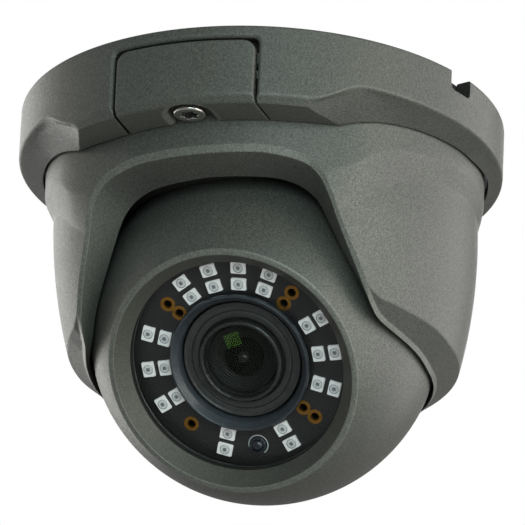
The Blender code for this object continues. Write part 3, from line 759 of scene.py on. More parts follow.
def shroud_section(turn):
    """Closed section of the hood wall, with rows along the collar's bevel, a chamfered mouth and a lip."""
    angle = abs(math.degrees(turn))
    edge, inner = curve(MOUTH_EDGE, angle), curve(MOUTH_INNER, angle)
    chamfer = curve(CHEEK_CHAMFER, angle)
    lip = mix(1.0, 0.7, smooth(45, 62, angle))
    end = edge + chamfer
    top = SHROUD_TOP / MM
    upper = max(curve(BEVEL_UPPER, angle), end + 0.8)
    lower = max(curve(BEVEL_LOWER, angle), end + 0.4)
    span = upper - lower
    heights = [top, top - 0.5, mix(top, upper, 0.4), mix(top, upper, 0.75)]
    heights += [upper + span * s for s in (0.08, 0.04, 0.0, -0.04, -0.08, -0.5, -0.92, -0.96, -1.0, -1.04, -1.08)]
    last = min(heights[-1], lower - 0.05)
    heights = [max(h, end + 0.3) for h in heights]
    heights += [mix(max(last, end + 0.25), end, k / 14) for k in range(1, 14)]
    outside = [shroud_point(turn, z) for z in heights]
    rim = [
        outside[-1],
        (shroud_point(turn, end), 0.3),
        (shroud_point(turn, edge - 0.05, chamfer), 0.2),
        (shroud_point(turn, edge - lip * RIM_LIP[1], chamfer + lip * RIM_LIP[0]), 0.2),
        (bore_point(turn, inner), 0.3),
        bore_point(turn, inner + 1.2),
    ]
    mouth = fillet(rim, 3, closed=False)[1:]
    knee = max(inner + 2, BALL_CENTRE.z / MM)
    bore = [bore_point(turn, mix(inner + 1.2, knee, k / 6)) for k in range(1, 7)]
    bore += [bore_point(turn, mix(knee, top, k / 4)) for k in range(1, 5)]
    return [p * MM for p in outside + mouth + bore]


def shroud_turns():
    """Half-degree sections where the mouth's edge runs steeply, and 2 degree ones at the back."""
    half = [k * 1.0 for k in range(0, 26)]
    half += [26 + k * 0.5 for k in range(0, 80)]
    half += [66 + k * 1.0 for k in range(0, 34)]
    half += [100 + k * 2.0 for k in range(0, 40)]
    return [math.radians(a) for a in half + [180] + [-a for a in reversed(half[1:])]]


def make_shroud():
    sections = [shroud_section(turn) for turn in shroud_turns()]
    bore = len(sections[0]) - BORE_POINTS
    # Bore strips get the painted shade, lip strips the painted highlight.
    mesh = loft(sections, closed=True, paint_of=lambda k, j: 1 if j >= bore else 2 if LIP_STRIPS[0] <= j < LIP_STRIPS[1] else 0)
    stand_in("shroud", mesh, [paint(housing_paint), paint(painted_shade), paint(rim_painted_highlight)])


# ---------------------------------------------------------------- ring and hatch


def crease_radius(turn):
    """Distance from the Z axis to the crease at which the front facet ends, in millimetres."""
    turn = min(abs(turn), math.pi / 2)
    return CREASE_REACH / (math.sin(turn) + CREASE_SLANT * math.cos(turn))


def underside(radius, turn):
    """Height of the ring's underside: flat in front, a ramp past the crease, and shallow at the sides."""
    past = (radius / crease_radius(turn) - 1) * CREASE_REACH / math.hypot(1, CREASE_SLANT)
    share = (1 - min(max(past / RAMP_LENGTH, 0.0), 1.0)) ** 1.5
    return mix(mix(-16.3, -14.0, (radius - 53.5) / 5), FACET_FRONT / MM, share)


def facet_inner(turn, gap=0.6):
    """Inner edge of the ring's underside, just clear of the shroud, in millimetres."""
    z = underside(53.5, turn)
    angle = abs(math.degrees(turn))
    shroud = polar(shroud_centre(z), SHROUD_RADIUS + COLLAR_STEP * smooth(*COLLAR_FADE, angle), turn)
    return min(shroud, BACK_LIMIT) + gap


def ring_section(turn):
    """Closed section of the ring: top edge, outer wall, chamfer, underside, wall inside and ledge."""
    angle = math.degrees(turn)
    front = 1 - smooth(*FRONT_SECTOR, abs(angle))
    boss = NOTCH["boss"] * (1 - smooth(7, 10, abs(angle - NOTCH["angle"])))
    radius = RING_RADIUS / MM
    outer, inside = radius - 1.5, radius - 2.8
    inner = facet_inner(turn)
    crease = min(max(crease_radius(turn), inner + 0.3), outer - 0.3)
    top, facet = RING_TOP / MM, underside(inner, turn)
    corners = flat((radius - 1.4, top), (radius, top, 1.0), (radius, mix(-13.3, -18.7, front), 0.6))
    corners += flat((outer, underside(outer, turn), 0.6))
    for r in (mix(outer, crease, 0.5), crease, mix(crease, inner, 0.35), mix(crease, inner, 0.7)):
        corners += flat((r, underside(r, turn)))
    corners += flat(
        (inner, facet, 0.3), (inner, facet + 1.8, 0.3), (inside, mix(-13.0, facet + 1.8, front)), (inside, -10.6),
        (47.5, -10.6, 0.3), (47.5, -9.0, 0.3), (inside - boss, -9.0, 0.3), (inside - boss, top, 0.4),
    )
    return [around(p.x * MM, turn, p.y * MM) for p in fillet(corners, 4)]


def arch(half_width, top, bottom, corner):
    """Outline with two rounded upper corners, in millimetres."""
    level = [half_width - corner * 1.05 - k * (half_width - corner * 1.05) / 12 for k in range(25)]
    corners = flat((-half_width, bottom), (half_width, bottom), (half_width, top, corner))
    corners += [(Vector((x, top)), 0.0) for x in level] + flat((-half_width, top, corner))
    return fillet(corners, 8)


def upright(outline, y_front, y_back):
    """A cutter along Y from an outline in X and Z."""
    return loft([[Vector((p.x, y, p.y)) * MM for p in outline] for y in (y_front, y_back)])


def opening_mesh():
    """Cutter for the hatch's opening. Its outline widens at the ring's surface, which rounds the edge there."""
    sections = []
    for depth, grow in ((-7.0, 0.85), (0.05, 0.85), (0.2, 0.5), (0.45, 0.22), (0.8, 0.05), (1.2, 0.0), (17.0, 0.0)):
        radius = RING_RADIUS / MM - depth
        half_width = HATCH_HALF / MM + HATCH_SEAM + grow
        top = HATCH_TOP / MM + HATCH_SEAM + grow
        points = arch(half_width, top, -22, HATCH_CORNER + 2.0 + grow)
        sections.append([Vector((p.x, -math.sqrt(radius**2 - p.x**2), p.y)) * MM for p in points])
    # Strips from 0.8 mm deep get the painted shade in the seam.
    return loft(sections, paint_of=lambda k, j: int(k >= 4))


def make_ring():
    sections = [ring_section(math.radians(k * 0.75 - 180)) for k in range(480)]
    ring = stand_in("base_ring", loft(sections, closed=True), [paint(housing_paint), paint(painted_shade)])
    carve(ring, opening_mesh())
    turn = math.radians(NOTCH["angle"])
    notch = upright(arch(NOTCH["radius"], NOTCH["depth"], -20, 0.9 * NOTCH["radius"]), -8, 8)
    flip = Matrix.Rotation(turn, 4, "Z") @ Matrix.Rotation(math.pi, 4, "Y")
    # The notch's cut faces get the painted shade.
    carve(ring, notch, Matrix.Translation(around(RING_RADIUS, turn, 0)) @ flip, lining=1)


def hatch_section(x, inset):
    """Closed section of the hatch in a plane of constant x, in millimetres."""
    half, corner = HATCH_HALF / MM, HATCH_CORNER + 1.0
    outer_radius, facet = RING_RADIUS / MM, FACET_FRONT / MM
    outer = -math.sqrt(outer_radius**2 - x**2) + inset
    over = max(abs(x) - (half - corner), 0.0)
    top = HATCH_TOP / MM - (corner - math.sqrt(max(corner**2 - over**2, 0.0)))
    bevel = -math.sqrt((outer_radius - 1.5) ** 2 - x**2)
    back = -math.sqrt(facet_inner(math.asin(x / outer_radius)) ** 2 - x**2)
    inner = -math.sqrt((outer_radius - 2.0) ** 2 - x**2)
    corners = flat(
        (outer, top, 0.55),
        (outer, -18.7, 0.7),
        (bevel, facet + inset, 0.6),
        (back, facet + inset, 0.3),
        (back, facet + 3.5, 0.3),
        (inner, facet + 3.5, 0.3),
        (inner, top, 0.3),
    )
    return [Vector((x, p.x, p.y)) * MM for p in fillet(corners, 4)]


def slot_outline(radius, y_centre, y_end):
    """A slot with one round end, running back from y_centre to y_end."""
    turns = [math.radians(a) for a in range(180, 361, 5)]
    outline = [Vector((radius * math.cos(t), y_centre + radius * math.sin(t))) for t in turns]
    return outline + [Vector((radius, y_end)), Vector((-radius, y_end))]


def make_hatch():
    half = HATCH_HALF / MM
    soft = 0.5
    edge = [(half - soft + soft * math.sin(t), soft - soft * math.cos(t)) for t in (1.5708, 1.2, 0.8, 0.4, 0.0)]
    near = [(half - s, 0.0) for s in (0.9, 1.4, 2.0, 2.6, 3.2)]
    middle = [(x * 0.97, 0.0) for x in range(14, 0, -1)]
    right = edge + near + middle
    places = [(-x, inset) for x, inset in right] + [(0.0, 0.0)] + list(reversed(right))
    mesh = loft([hatch_section(x, inset) for x, inset in places])
    hatch = stand_in("hatch", mesh, [paint(housing_paint), paint(painted_shade), paint(rim_painted_highlight)])
    facet = FACET_FRONT / MM
    y = SCREW_PLACE.y / MM
    rows = ((-2.0, 6.9), (-0.02, 6.9), (0.08, 6.3), (0.28, 5.75), (0.6, 5.3), (1.0, 5.0), (1.5, 4.9), (2.2, 4.9))
    pocket = [[Vector((p.x, p.y, facet + h)) * MM for p in slot_outline(r, y, -44)] for h, r in rows]
    # The pocket's first rows, round its lip, get the painted highlight.
    carve(hatch, loft(pocket, paint_of=lambda k, j: 2 if k < 4 else 0))
    carve(hatch, prism(slot_outline(1.8, y, -44), (facet + 1.7, facet + 6)))


# ---------------------------------------------------------------- screws


def star(radius, steps):
    """A six-lobed socket outline."""
    turns = [2 * math.pi * k / steps for k in range(steps)]
    lobes = [radius * (0.87 + 0.13 * math.cos(6 * t)) for t in turns]
    return [(r * math.cos(t), r * math.sin(t)) for r, t in zip(lobes, turns)]


def screw_mesh(head_radius, shank_radius, heights, steps=96):
    """A button-head screw with a six-lobed socket. Heights are the face, the seat and the tip, in millimetres."""
    face, seat, tip = heights
    side = 1 if tip > face else -1
    turns = [2 * math.pi * k / steps for k in range(steps)]
    rows = [(0.55 * shank_radius, tip), (shank_radius, tip - side * 0.5)]
    pitch = 0.5
    length = abs(tip - seat) - 1.2
    for k in range(int(length / pitch)):
        place = tip - side * (0.6 + pitch * k)
        rows += [(shank_radius, place), (shank_radius - 0.22, place - side * pitch / 2)]
    rows += [(shank_radius, seat + side * 0.3), (shank_radius, seat), (0.985 * head_radius, seat)]
    rows += [(head_radius, seat - side * 0.1), (head_radius, face + side * 0.5)]
    for k in range(1, 7):
        t = math.radians(15 * k)
        rows.append((head_radius - 0.45 * (1 - math.cos(t)), face + side * 0.5 * (1 - math.sin(t))))
    rows.append((0.72 * head_radius, face))
    rings = [[Vector((r * math.cos(t), r * math.sin(t), z)) * MM for t in turns] for r, z in rows]
    for scale, z in ((0.64, face), (0.60, face + side * 0.1), (0.57, face + side * 1.1), (0.30, face + side * 1.3)):
        outline = star(head_radius * scale, steps)
        rings.append([Vector((x, y, z)) * MM for x, y in outline])
    # The socket's rows get the painted shade.
    return loft(rings, paint_of=lambda k, j: int(k >= len(rings) - 3))


def make_screws():
    for node, shank, head_down in (
        ("hatch_screw", 1.5, True),
        ("pan_lock_screw", 1.5, True),
        ("ring_screw_1", 1.5, False),
        ("ring_screw_2", 1.5, False),
        ("ring_screw_3", 1.5, False),
        ("ring_screw_4", 1.5, False),
    ):
        low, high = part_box(node)
        centre = (low + high) / 2
        head_radius = (high.x - low.x) / 2 / MM
        head = 2.0 if node == "hatch_screw" else 2.4 if node == "pan_lock_screw" else 1.7
        face, tip = (low.z, high.z) if head_down else (high.z, low.z)
        seat = face / MM + head * (1 if head_down else -1)
        mesh = screw_mesh(head_radius, shank, (face / MM, seat, tip / MM))
        stand_in(node, mesh, [paint(stainless), paint(socket_painted_shade)], Matrix.Translation((centre.x, centre.y, 0)))


# ---------------------------------------------------------------- base, clamp and cable


def make_base():
    """Ceiling plate: a turned casting with fixing slots and shallow pockets in its upper face."""
    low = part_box("mounting_base")[0].z / MM
    corners = flat(
        (8.2, 0.0, 0.3), (54.8, 0.0, 0.5), (55.6, -0.8, 0.5), (55.6, low, 0.5), (50.5, low, 0.5),
        (49.5, -2.8, 0.6), (24.0, -2.8), (8.2, -2.8, 0.3),
    )
    outline = fillet(corners, 3)
    # The plate's outer rim gets the painted shade, where it shows through the cable notch.
    plate = turned(outline, 180, lambda j: int(outline[j].x > 54.7))
    base = stand_in("mounting_base", plate, [paint(inner_casting), paint(painted_shade)])
    for k in range(3):
        turn = math.radians(60 + 120 * k)
        slot = [Vector((p.x, p.y)) for p in slot_outline(2.4, -3, 4)]
        place = Matrix.Translation(around(38 * MM, turn, 0)) @ Matrix.Rotation(turn + math.pi / 2, 4, "Z")
        carve(base, prism(slot, (-6, 2)), place)
        pocket = fillet(pocket_outline(math.radians(26 + 120 * k), math.radians(34)), 6)
        carve(base, prism(pocket, (-0.9, 2)))
        pocket = fillet(pocket_outline(math.radians(94 + 120 * k), math.radians(34)), 6)
        carve(base, prism(pocket, (-0.9, 2)))


def pocket_outline(middle, width):
    """Corners of a curved pocket between two radii, with rounded corners."""
    turns = [middle + width * (k / 10 - 0.5) for k in range(11)]
    outer = [Vector((49.0 * math.sin(t), -49.0 * math.cos(t))) for t in turns]
    inner = [Vector((29.5 * math.sin(t), -29.5 * math.cos(t))) for t in reversed(turns)]
    corners = [(p, 0.0) for p in outer + inner]
    for k in (0, 10, 11, 21):
        corners[k] = (corners[k][0], 2.5)
    return corners


def make_round_inner_pieces():
    """Turned pieces: glide ring, gland and cable about the vertical axis, and swivel hub and ball cable about the
    optical axis.
    """
    glide = flat((53.3, -5.8, 0.4), (55.6, -5.8, 0.4), (55.6, -8.7, 0.4), (53.3, -8.7, 0.4))
    stand_in("pan_glide_ring", turned(fillet(glide), 180), [paint(white_nylon)])
    gland = flat(
        (3.5, -0.5, 0.3), (7.8, -0.5, 0.4), (7.8, -3.1), (9.6, -3.1, 0.3), (9.6, -4.6, 0.6),
        (6.6, -5.2, 0.3), (6.4, -5.6, 0.2), (5.2, -6.6, 0.4), (3.5, -6.6, 0.2),
    )
    stand_in("cable_gland", turned(fillet(gland), 96), [paint(rubber)])
    cable = flat((0.0, 0.0), (2.2, 0.0), (3.2, 0.0, 0.25), (3.2, -7.0, 0.5), (2.2, -7.0), (0.0, -7.0))
    stand_in("camera_cable", turned(fillet(cable, closed=False), 64), [paint(black_plastic)])
    hub = flat(
        (3.0, -43.0, 0.3), (6.0, -42.8, 0.8), (10.6, -41.8, 0.8), (11.2, -41.0, 0.4), (11.2, -37.9),
        (15.0, -37.4, 0.4), (15.0, -35.8, 0.4), (3.0, -35.8, 0.3),
    )
    stand_in("swivel_hub", turned(fillet(hub), 120), [paint(inner_casting)], FACING)
    cable = flat((0.0, -42.8), (1.8, -42.8), (2.6, -42.8, 0.4), (2.6, -22.0, 0.4), (1.8, -22.0), (0.0, -22.0))
    stand_in("ball_cable", turned(fillet(cable, closed=False), 64), [paint(black_plastic)], FACING)


# ---------------------------------------------------------------- ball


def axial(node):
    """Lowest and highest place of a node along the optical axis, in millimetres from the ball's centre."""
    places = [(v.co - BALL_CENTRE).dot(OPTICAL) / MM for v in frame["nodes"][node].data.vertices]
    return min(places), max(places)


def placed(mesh, matrix=FACING):
    """Works a place into the vertices, which keeps the piece's box a close one."""
    bmesh.ops.transform(mesh, matrix=matrix, verts=mesh.verts)
    return mesh


def make_shells():
    """Front shell with a flat rim and a sloping bezel round the window, and the plain rear shell."""
    crest, sill = axial("ball_front_shell")[1], axial("window")[1] + 0.4
    rim = crest - RIM_CROWN
    edge = math.sqrt(BALL_RADIUS**2 - rim**2)
    skin = arc(BALL_RADIUS, SEAM_AXIAL, rim - 0.6, 56)
    bezel = flat(
        (edge, rim, 0.3), (mix(edge, CREST_RADIUS, 0.5), mix(rim, crest, 0.62)), (CREST_RADIUS, crest, 0.16),
        (SILL_RADIUS, sill, 0.15), (SILL_RADIUS, sill - 0.1), (WINDOW_SEAT, sill - 0.1), (WINDOW_SEAT, 18.5),
    )
    inner = arc(BALL_INNER, 18.5, SEAM_AXIAL, 16)
    corners = [(p, 0.0) for p in skin] + bezel + [(p, 0.0) for p in inner]
    corners[0] = (corners[0][0], 0.4)
    outline = fillet(corners, 4)

    # Slot 1 paints shade on the bezel's cone inside the crest, slot 2 paints a highlight on its flat rim.
    def slot(j):
        p = outline[j]
        if p.y < sill - 0.2 or p.x < BALL_INNER - 20:
            return 0
        return 2 if rim - 0.25 < p.y and CREST_RADIUS - 0.1 < p.x < CREST_RADIUS + 1.7 else int(p.x < CREST_RADIUS)

    shell = turned(outline, 240, slot)
    paints = [paint(housing_paint), paint(bezel_painted_shade), paint(rim_painted_highlight)]
    stand_in("ball_front_shell", placed(shell), paints)
    rear_edge, rear_end = SEAM_AXIAL - 1.8, -41.55
    skin = arc(BALL_RADIUS, rear_edge, rear_end, 40)
    inner = arc(BALL_INNER, -39.2, rear_edge, 16)
    corners = [(p, 0.0) for p in skin + inner]
    corners[0] = (corners[0][0], 0.4)
    corners[40] = (corners[40][0], 0.3)
    stand_in("ball_rear_shell", placed(turned(fillet(corners, 3), 200)), [paint(housing_paint)])
    seal = flat((38.4, -15.5, 0.2), (40.3, -15.5, 0.3), (40.6, -14.3, 0.2), (38.8, -14.3, 0.2))
    stand_in("seam_gasket", placed(turned(fillet(seal), 160)), [paint(rubber)])


def make_window():
    low, high = axial("window")
    edge = WINDOW_SEAT - 0.3
    window = flat(
        (0.0, high), (edge - 0.6, high), (edge, high, 0.25), (edge, low, 0.25), (edge - 0.6, low), (0.0, low)
    )
    outline = fillet(window, closed=False)
    # The pane's rim gets the painted shade.
    pane = turned(outline, 160, lambda j: int(min(outline[j].x, outline[j + 1].x) > edge - 0.7))
    stand_in("window", placed(pane), [paint(clear_window), paint(painted_shade)])
    low, high = axial("window_gasket")
    seal = flat((edge - 0.9, low, 0.25), (edge, low, 0.2), (edge, high, 0.2), (edge - 0.9, high, 0.25))
    stand_in("window_gasket", placed(turned(fillet(seal), 160)), [paint(board_mask)])


# ---------------------------------------------------------------- emitter board

PLATED_HOLES = ((22.65, -45), (19.05, -45), (22.65, 45), (19.05, 45), (19.05, 136), (22.65, 136), (22.2, -133.6))
HOLE_RADII = (1.15, 1.88)  # bore and outer edge of the plating


def on_face(radius, angle, height):
    """Matrix at a place on the face: radius, angle from the top towards +X, and height along the axis."""
    turn = math.radians(90 - angle)
    place = Vector((radius * math.cos(turn), radius * math.sin(turn), height)) * MM
    return FACING @ Matrix.Translation(place) @ Matrix.Rotation(turn, 4, "Z")


def make_board():
    low, high = axial("led_board")
    corners = flat((17.3, low, 0.12), (27.5, low, 0.12), (27.5, high, 0.12), (27.3, high), (27.2, high))
    corners += flat((17.6, high), (17.5, high), (17.3, high, 0.12))
    board = stand_in("led_board", turned(fillet(corners, 2), 180), [paint(board_mask)], FACING)
    for k, (radius, angle) in enumerate(PLATED_HOLES):
        place = on_face(radius, angle, high)
        bore, edge = HOLE_RADII
        circle = [Vector((bore * math.cos(t / 16 * math.pi), bore * math.sin(t / 16 * math.pi))) for t in range(32)]
        carve(board, prism(circle, (-3, 1)), place)
        eyelet = flat(
            (bore - 0.12, -1.2, 0.05), (bore, -1.2), (bore + 0.02, 0.0),
            (edge, 0.0), (edge, 0.1, 0.06), (bore - 0.12, 0.12, 0.1),
        )
        detail(f"plated_hole_{k + 1}", turned(fillet(eyelet), 48), [paint(gold_plating)], "ball", "board_mask", place)


def rounded_block(half_x, half_y, steps, power=18.0):
    """Outline of a rectangle with small round corners, by the same turns as a circle."""
    points = []
    for k in range(steps):
        t = 2 * math.pi * (k + 0.5) / steps
        c, s = math.cos(t), math.sin(t)
        r = (abs(c / half_x) ** power + abs(s / half_y) ** power) ** (-1 / power)
        points.append((r * c, r * s))
    return points


def round_rows(rows, steps):
    """Circles of vertices from (radius, height) pairs."""
    turns = [2 * math.pi * (k + 0.5) / steps for k in range(steps)]
    return [[Vector((radius * math.cos(t), radius * math.sin(t), z)) * MM for t in turns] for radius, z in rows]


def package_mesh():
    """A surface-mount emitter: moulded body with drafted sides, round cup, clear fill, chip and leads."""
    steps = 64
    half_x, half_y, half_z = 1.5, 1.9, 0.4
    block = rounded_block(half_x, half_y, steps)
    rings = []
    for scale, z in ((0.96, -half_z), (1.0, -half_z + 0.05), (1.0, -0.05), (0.985, half_z - 0.06), (0.965, half_z)):
        rings.append([Vector((x * scale, y * scale, z)) * MM for x, y in block])
    cup = ((1.24, half_z), (1.18, half_z - 0.14), (1.10, half_z - 0.14), (1.05, half_z - 0.02), (0.5, half_z))
    mesh = loft(rings + round_rows(cup, steps), paint_of=lambda k, j: (0, 4, 4, 1)[min(max(k - 4, 0), 3)])
    die = [(0.46, half_z - 0.04), (0.46, half_z + 0.01), (0.44, half_z + 0.02)]
    chip = [[Vector((x, y, z)) * MM for x, y in rounded_block(s, s, 16)] for s, z in die]
    parts = [(mesh, 0), (loft(chip), 2)]
    for side in (1, -1):
        root, tip = side * (half_y - 0.12), side * (half_y + 0.02)
        bend = ((root, -half_z), (tip, -half_z), (tip, -0.1), (root, -0.1))
        parts.append((loft([[Vector((x, y, z)) * MM for y, z in bend] for x in (-0.85, 0.85)]), 3))
    return parts


def join_parts(parts):
    """One mesh from several closed solids, each with its own material index added."""
    whole = bmesh.new()
    for mesh, index in parts:
        bmesh.ops.recalc_face_normals(mesh, faces=mesh.faces)
        for face in mesh.faces:
            face.material_index += index
        part = bpy.data.meshes.new("part")
        mesh.to_mesh(part)
        mesh.free()
        whole.from_mesh(part)
        bpy.data.meshes.remove(part)
    return whole


def make_emitters():
    paints = [paint(f) for f in (emitter_white, emitter_gel, emitter_die, tinned_lead, emitter_groove)]
    inward = FACING.inverted()
    for node in sorted(n for n in frame["nodes"] if n.startswith("ir_led_")):
        low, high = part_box(node)
        centre = inward @ ((low + high) / 2)
        angle = 90 - math.degrees(math.atan2(centre.y, centre.x))
        radius = math.hypot(centre.x, centre.y) / MM
        stand_in(node, join_parts(package_mesh()), paints, on_face(radius, angle, centre.z / MM))


def make_light_sensor():
    """A dark dome in a low cup, with a printed ring round it that is open at one side."""
    low, high = axial("light_sensor")
    tall = high - low
    turns = [k * math.pi / 20 for k in range(11)]
    cap = [Vector((1.6 * math.sin(t), low + 0.85 + (tall - 0.85) * math.cos(t))) for t in turns]
    corners = [(p, 0.0) for p in cap]
    corners += flat((2.1, low + 0.85, 0.15), (2.1, low, 0.1), (1.5, low), (0.0, low))
    place = on_face(0, 0, 0) @ Matrix.Rotation(math.radians(-90), 4, "Z") @ Matrix.Translation((0, -22.2 * MM, 0))
    stand_in("light_sensor", turned(fillet(corners, 3, closed=False), 64), [paint(chip_black)], place)
    turns = [math.radians(-62 + 250 * k / 60) for k in range(61)]
    sections = []
    for t in turns:
        ends = [(2.34, low + 0.02), (2.56, low + 0.02), (2.56, low + 0.1), (2.34, low + 0.1)]
        sections.append([Vector((r * math.cos(t), r * math.sin(t), h)) * MM for r, h in ends])
    detail("sensor_legend", loft(sections), [paint(legend_white)], "ball", "emitter_white", place)


# ---------------------------------------------------------------- lens


def lens_piece(node, corners, paint_function, steps=160, closed=True):
    mesh = turned(fillet(corners, 4, closed=closed), steps)
    return stand_in(node, mesh, [paint(paint_function)], FACING)


def dome(radius, rise, base, count=14):
    """(radius, height) points of a spherical cap from its rim to the axis."""
    sphere = (radius**2 + rise**2) / (2 * rise)
    points = []
    for k in range(count + 1):
        r = radius * math.cos(math.pi / 2 * k / count)
        points.append(Vector((r, base - (sphere - rise) + math.sqrt(sphere**2 - r**2))))
    return points


def make_lens_outside():
    """Rubber collar, front cell with its steps, retainer and glass. Returns the two pieces that glint."""
    low, high = axial("lens_collar")
    lens_piece("lens_collar", flat(
        (15.3, low, 0.2), (17.0, low, 0.2), (17.0, high - 2.5, 0.6), (17.8, high - 0.7, 0.4), (17.5, high, 0.25),
        (17.1, high - 0.05, 0.2), (15.6, high - 1.9, 0.5), (15.3, high - 3.2, 0.3),
    ), collar_rubber_painted_sheen, 200)
    low, high = axial("front_lens_cell")
    lens_piece("front_lens_cell", flat(
        (6.0, low, 0.2), (10.6, low, 0.2), (10.6, high - 2.8), (14.6, high - 2.8, 0.2), (14.8, high - 2.4, 0.2),
        (14.8, high, 0.35), (14.3, high, 0.12), (14.1, high - 0.25, 0.12), (12.9, high - 0.3, 0.1),
        (12.75, high - 0.55, 0.08), (12.6, high - 0.1, 0.1), (12.3, high, 0.15), (11.0, high - 0.15, 0.15),
        (10.85, high - 0.9, 0.15), (9.9, high - 1.3, 0.15), (9.7, high - 3.0), (6.0, high - 3.8, 0.2),
    ), black_anodised, 200)
    low, high = axial("lens_retainer")
    lens_piece("lens_retainer", flat(
        (9.3, high - 0.6, 0.15), (9.3, low + 0.7, 0.1), (9.6, low, 0.1), (10.6, low + 0.9, 0.2),
        (10.4, high - 0.2, 0.2), (9.9, high, 0.25), (9.6, high - 0.05, 0.15),
    ), satin_ring, 200)
    low, high = axial("front_lens")
    outside = [(p, 0.0) for p in reversed(dome(8.95, 1.5, high - 1.0))]
    rim = flat((8.95, high - 1.9), (8.6, high - 2.1))
    inside = [(p, 0.0) for p in dome(8.2, 1.2, high - 1.3)]
    glass = turned([p for p, r in outside + rim + inside], 128)
    front = stand_in("front_lens", glass, [paint(front_glass)], FACING)
    front.visible_shadow = False
    return [front, make_lens_inside(low, high)]


def make_lens_inside(low, high):
    """What shows through the front glass: a ringed black funnel, a coated second element and a small third element.
    """
    rings = []
    for k in range(7):
        radius = 8.6 - 0.62 * k
        place = high - 2.4 - 0.22 * k
        rings += flat((radius, place, 0.05), (radius - 0.2, place - 0.18, 0.05))
    funnel = flat((8.8, high - 3.3)) + rings + flat((4.2, high - 4.1), (4.2, low - 0.3), (8.8, low - 0.3))
    mesh = turned([p for p, r in funnel], 128)
    detail("lens_baffle", mesh, [paint(baffle_black)], "front_cell", "black_anodised", FACING)
    cap = list(reversed(dome(4.9, 0.8, high - 3.1)))
    second = cap + [Vector((4.9, high - 4.3)), Vector((0.0, high - 4.3))]
    detail("second_element", turned(second, 96), [paint(lens_glass)], "front_cell", "lens_glass", FACING)
    cap = list(reversed(dome(1.7, 1.35, high - 2.0)))
    third = cap + [Vector((1.7, high - 4.2)), Vector((0.0, high - 4.2))]
    return detail("third_element", turned(third, 64), [paint(inner_glass)], "front_cell", "lens_glass", FACING)


def knurled(node, inner, outer, paint_function, teeth=60):
    """A turning ring with a ribbed grip."""
    low, high = axial(node)
    sections = []
    for k in range(teeth * 4):
        turn = 2 * math.pi * k / (teeth * 4)
        grip = outer - (0.35 if k % 4 in (0, 1) else 0.0)
        corners = flat(
            (inner, low, 0.1), (outer - 0.5, low, 0.2), (outer - 0.5, low + 1.2), (grip, low + 1.6),
            (grip, high - 2.2), (outer - 0.5, high - 1.8), (outer - 0.7, high, 0.3), (inner, high, 0.1),
        )
        points = fillet(corners, 2)
        sections.append([Vector((p.x * math.cos(turn), p.x * math.sin(turn), p.y)) * MM for p in points])
    stand_in(node, loft(sections, closed=True), [paint(paint_function)], FACING)


def make_lens_body():
    knurled("focus_ring", 12.7, 14.6, black_anodised)
    knurled("zoom_ring", 12.7, 14.6, black_anodised)
    low, high = axial("lens_barrel")
    lens_piece("lens_barrel", flat(
        (11.0, low, 0.2), (12.4, low, 0.3), (12.4, high, 0.3), (11.6, high, 0.1), (11.4, high - 0.5, 0.1),
        (11.0, high - 0.6, 0.1),
    ), black_anodised)
    low, high = axial("rear_lens_group")
    lens_piece("rear_lens_group", [(p, 0.0) for p in reversed(dome(6.6, 1.0, high))] + flat(
        (7.4, high - 1.2, 0.2), (10.6, high - 1.2, 0.3), (10.6, low + 0.6, 0.3), (6.6, low + 0.4, 0.2),
        (0.0, low + 0.4),
    ), lens_glass, 96, closed=False)


# ---------------------------------------------------------------- carried-over pieces


def dress_cad_nodes():
    """CAD nodes that stay get their slot's finish and softly rounded edges; the friction pad gets the painted shade
    instead of its finish.
    """
    for name, item in frame["nodes"].items():
        if item.hide_render:
            continue
        item.data.materials.clear()
        # The friction pad gets the painted shade, not its slot's finish.
        finish = painted_shade if name == "friction_pad" else SLOT_PAINTS[NODE_SLOT[name]]
        item.data.materials.append(paint(finish))
        bevel = item.modifiers.new("soft_edges", "BEVEL")
        bevel.width = 0.2 * MM
        bevel.segments = 2
        bevel.limit_method = "ANGLE"
        bevel.angle_limit = math.radians(40)


# ---------------------------------------------------------------- studio


def area_light(name, place, size, power, target=(0, 0, -0.05)):
    light = bpy.data.lights.new(name, "AREA")
    light.shape = "RECTANGLE"
    light.size, light.size_y = size
    light.energy = power
    item = bpy.data.objects.new(name, light)
    bpy.context.scene.collection.objects.link(item)
    item.location = place
    item.rotation_euler = (Vector(target) - Vector(place)).to_track_quat("-Z", "Y").to_euler()
    item.visible_camera = False
    return item


def around_camera(azimuth, elevation, distance):
    """A place given by angles from the camera's side of the object."""
    base = math.atan2(CAMERA_PLACE.x, -CAMERA_PLACE.y)
    a, e = base + math.radians(azimuth), math.radians(elevation)
    return Vector((math.sin(a) * math.cos(e), -math.cos(a) * math.cos(e), math.sin(e))) * distance


def make_world():
    """White to the camera, and a soft even light for the rest."""
    world = bpy.data.worlds.new("studio")
    bpy.context.scene.world = world
    world.use_nodes = True
    nodes, links = world.node_tree.nodes, world.node_tree.links
    light = nodes["Background"]
    light.inputs["Color"].default_value = (1.0, 1.0, 1.0, 1.0)
    light.inputs["Strength"].default_value = WORLD_STRENGTH
    seen = nodes.new("ShaderNodeBackground")
    seen.inputs["Color"].default_value = (1.0, 1.0, 1.0, 1.0)
    path = nodes.new("ShaderNodeLightPath")
    both = nodes.new("ShaderNodeMixShader")
    links.new(path.outputs["Is Camera Ray"], both.inputs["Fac"])
    links.new(light.outputs["Background"], both.inputs[1])
    links.new(seen.outputs["Background"], both.inputs[2])
    links.new(both.outputs["Shader"], nodes["World Output"].inputs["Surface"])


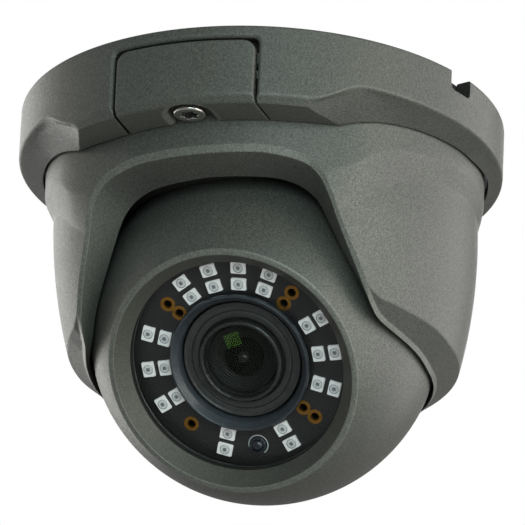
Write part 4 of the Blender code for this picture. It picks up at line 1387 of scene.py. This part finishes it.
def make_floor():
    """A pale floor well below, clear of every view."""
    mesh = bmesh.new()
    bmesh.ops.create_grid(mesh, x_segments=8, y_segments=8, size=30)
    p = Paint("pale_floor", (0.86, 0.86, 0.85), 0.8)
    p.shade(p.spread(p.noise(900.0, 2.0), 0.98, 1.02))
    floor = object_from(mesh, "floor", [p.material], Matrix.Translation((0, 0, -4.5)), weighted=False)


def make_studio(lens_pieces):
    make_world()
    make_floor()
    for name, azimuth, elevation, distance, size, watts, colour in LIGHTS:
        light = area_light(name, around_camera(azimuth, elevation, distance), size, watts)
        light.data.color = colour
    glow_place = BALL_CENTRE + Vector((-0.387, -0.733, -0.559)) * 1.5
    spark_place = around_camera(14, 8, 1.4)
    for name, piece, place, (width, height, watts, colour) in (
        ("lens_glow", lens_pieces[0], glow_place, LENS_GLOW),
        ("lens_spark", lens_pieces[1], spark_place, LENS_SPARK),
    ):
        lit = bpy.data.collections.new(name)
        lit.objects.link(piece)
        light = area_light(name, place, (width, height), watts, BALL_CENTRE)
        light.data.color = colour
        light.light_linking.receiver_collection = lit
    camera = bpy.data.cameras.new("camera")
    camera.lens = CAMERA_LENS
    camera.clip_end = 20
    item = bpy.data.objects.new("camera", camera)
    bpy.context.scene.collection.objects.link(item)
    back = (CAMERA_PLACE - CAMERA_TARGET).normalized()
    right = (-back).cross(Vector((0, 0, 1))).normalized()
    up = right.cross(-back)
    roll = math.radians(CAMERA_ROLL)
    side = right * math.cos(roll) + up * math.sin(roll)
    head = up * math.cos(roll) - right * math.sin(roll)
    item.matrix_world = Matrix.Translation(CAMERA_PLACE) @ Matrix((side, head, back)).transposed().to_4x4()
    bpy.context.scene.camera = item
    bpy.context.scene.view_settings.view_transform = "Standard"


# ---------------------------------------------------------------- assembly

make_ring()
make_hatch()
make_shroud()
make_screws()
make_base()
make_round_inner_pieces()
make_shells()
make_window()
make_board()
make_emitters()
make_light_sensor()
lens_pieces = make_lens_outside()
make_lens_body()
dress_cad_nodes()
make_studio(lens_pieces)
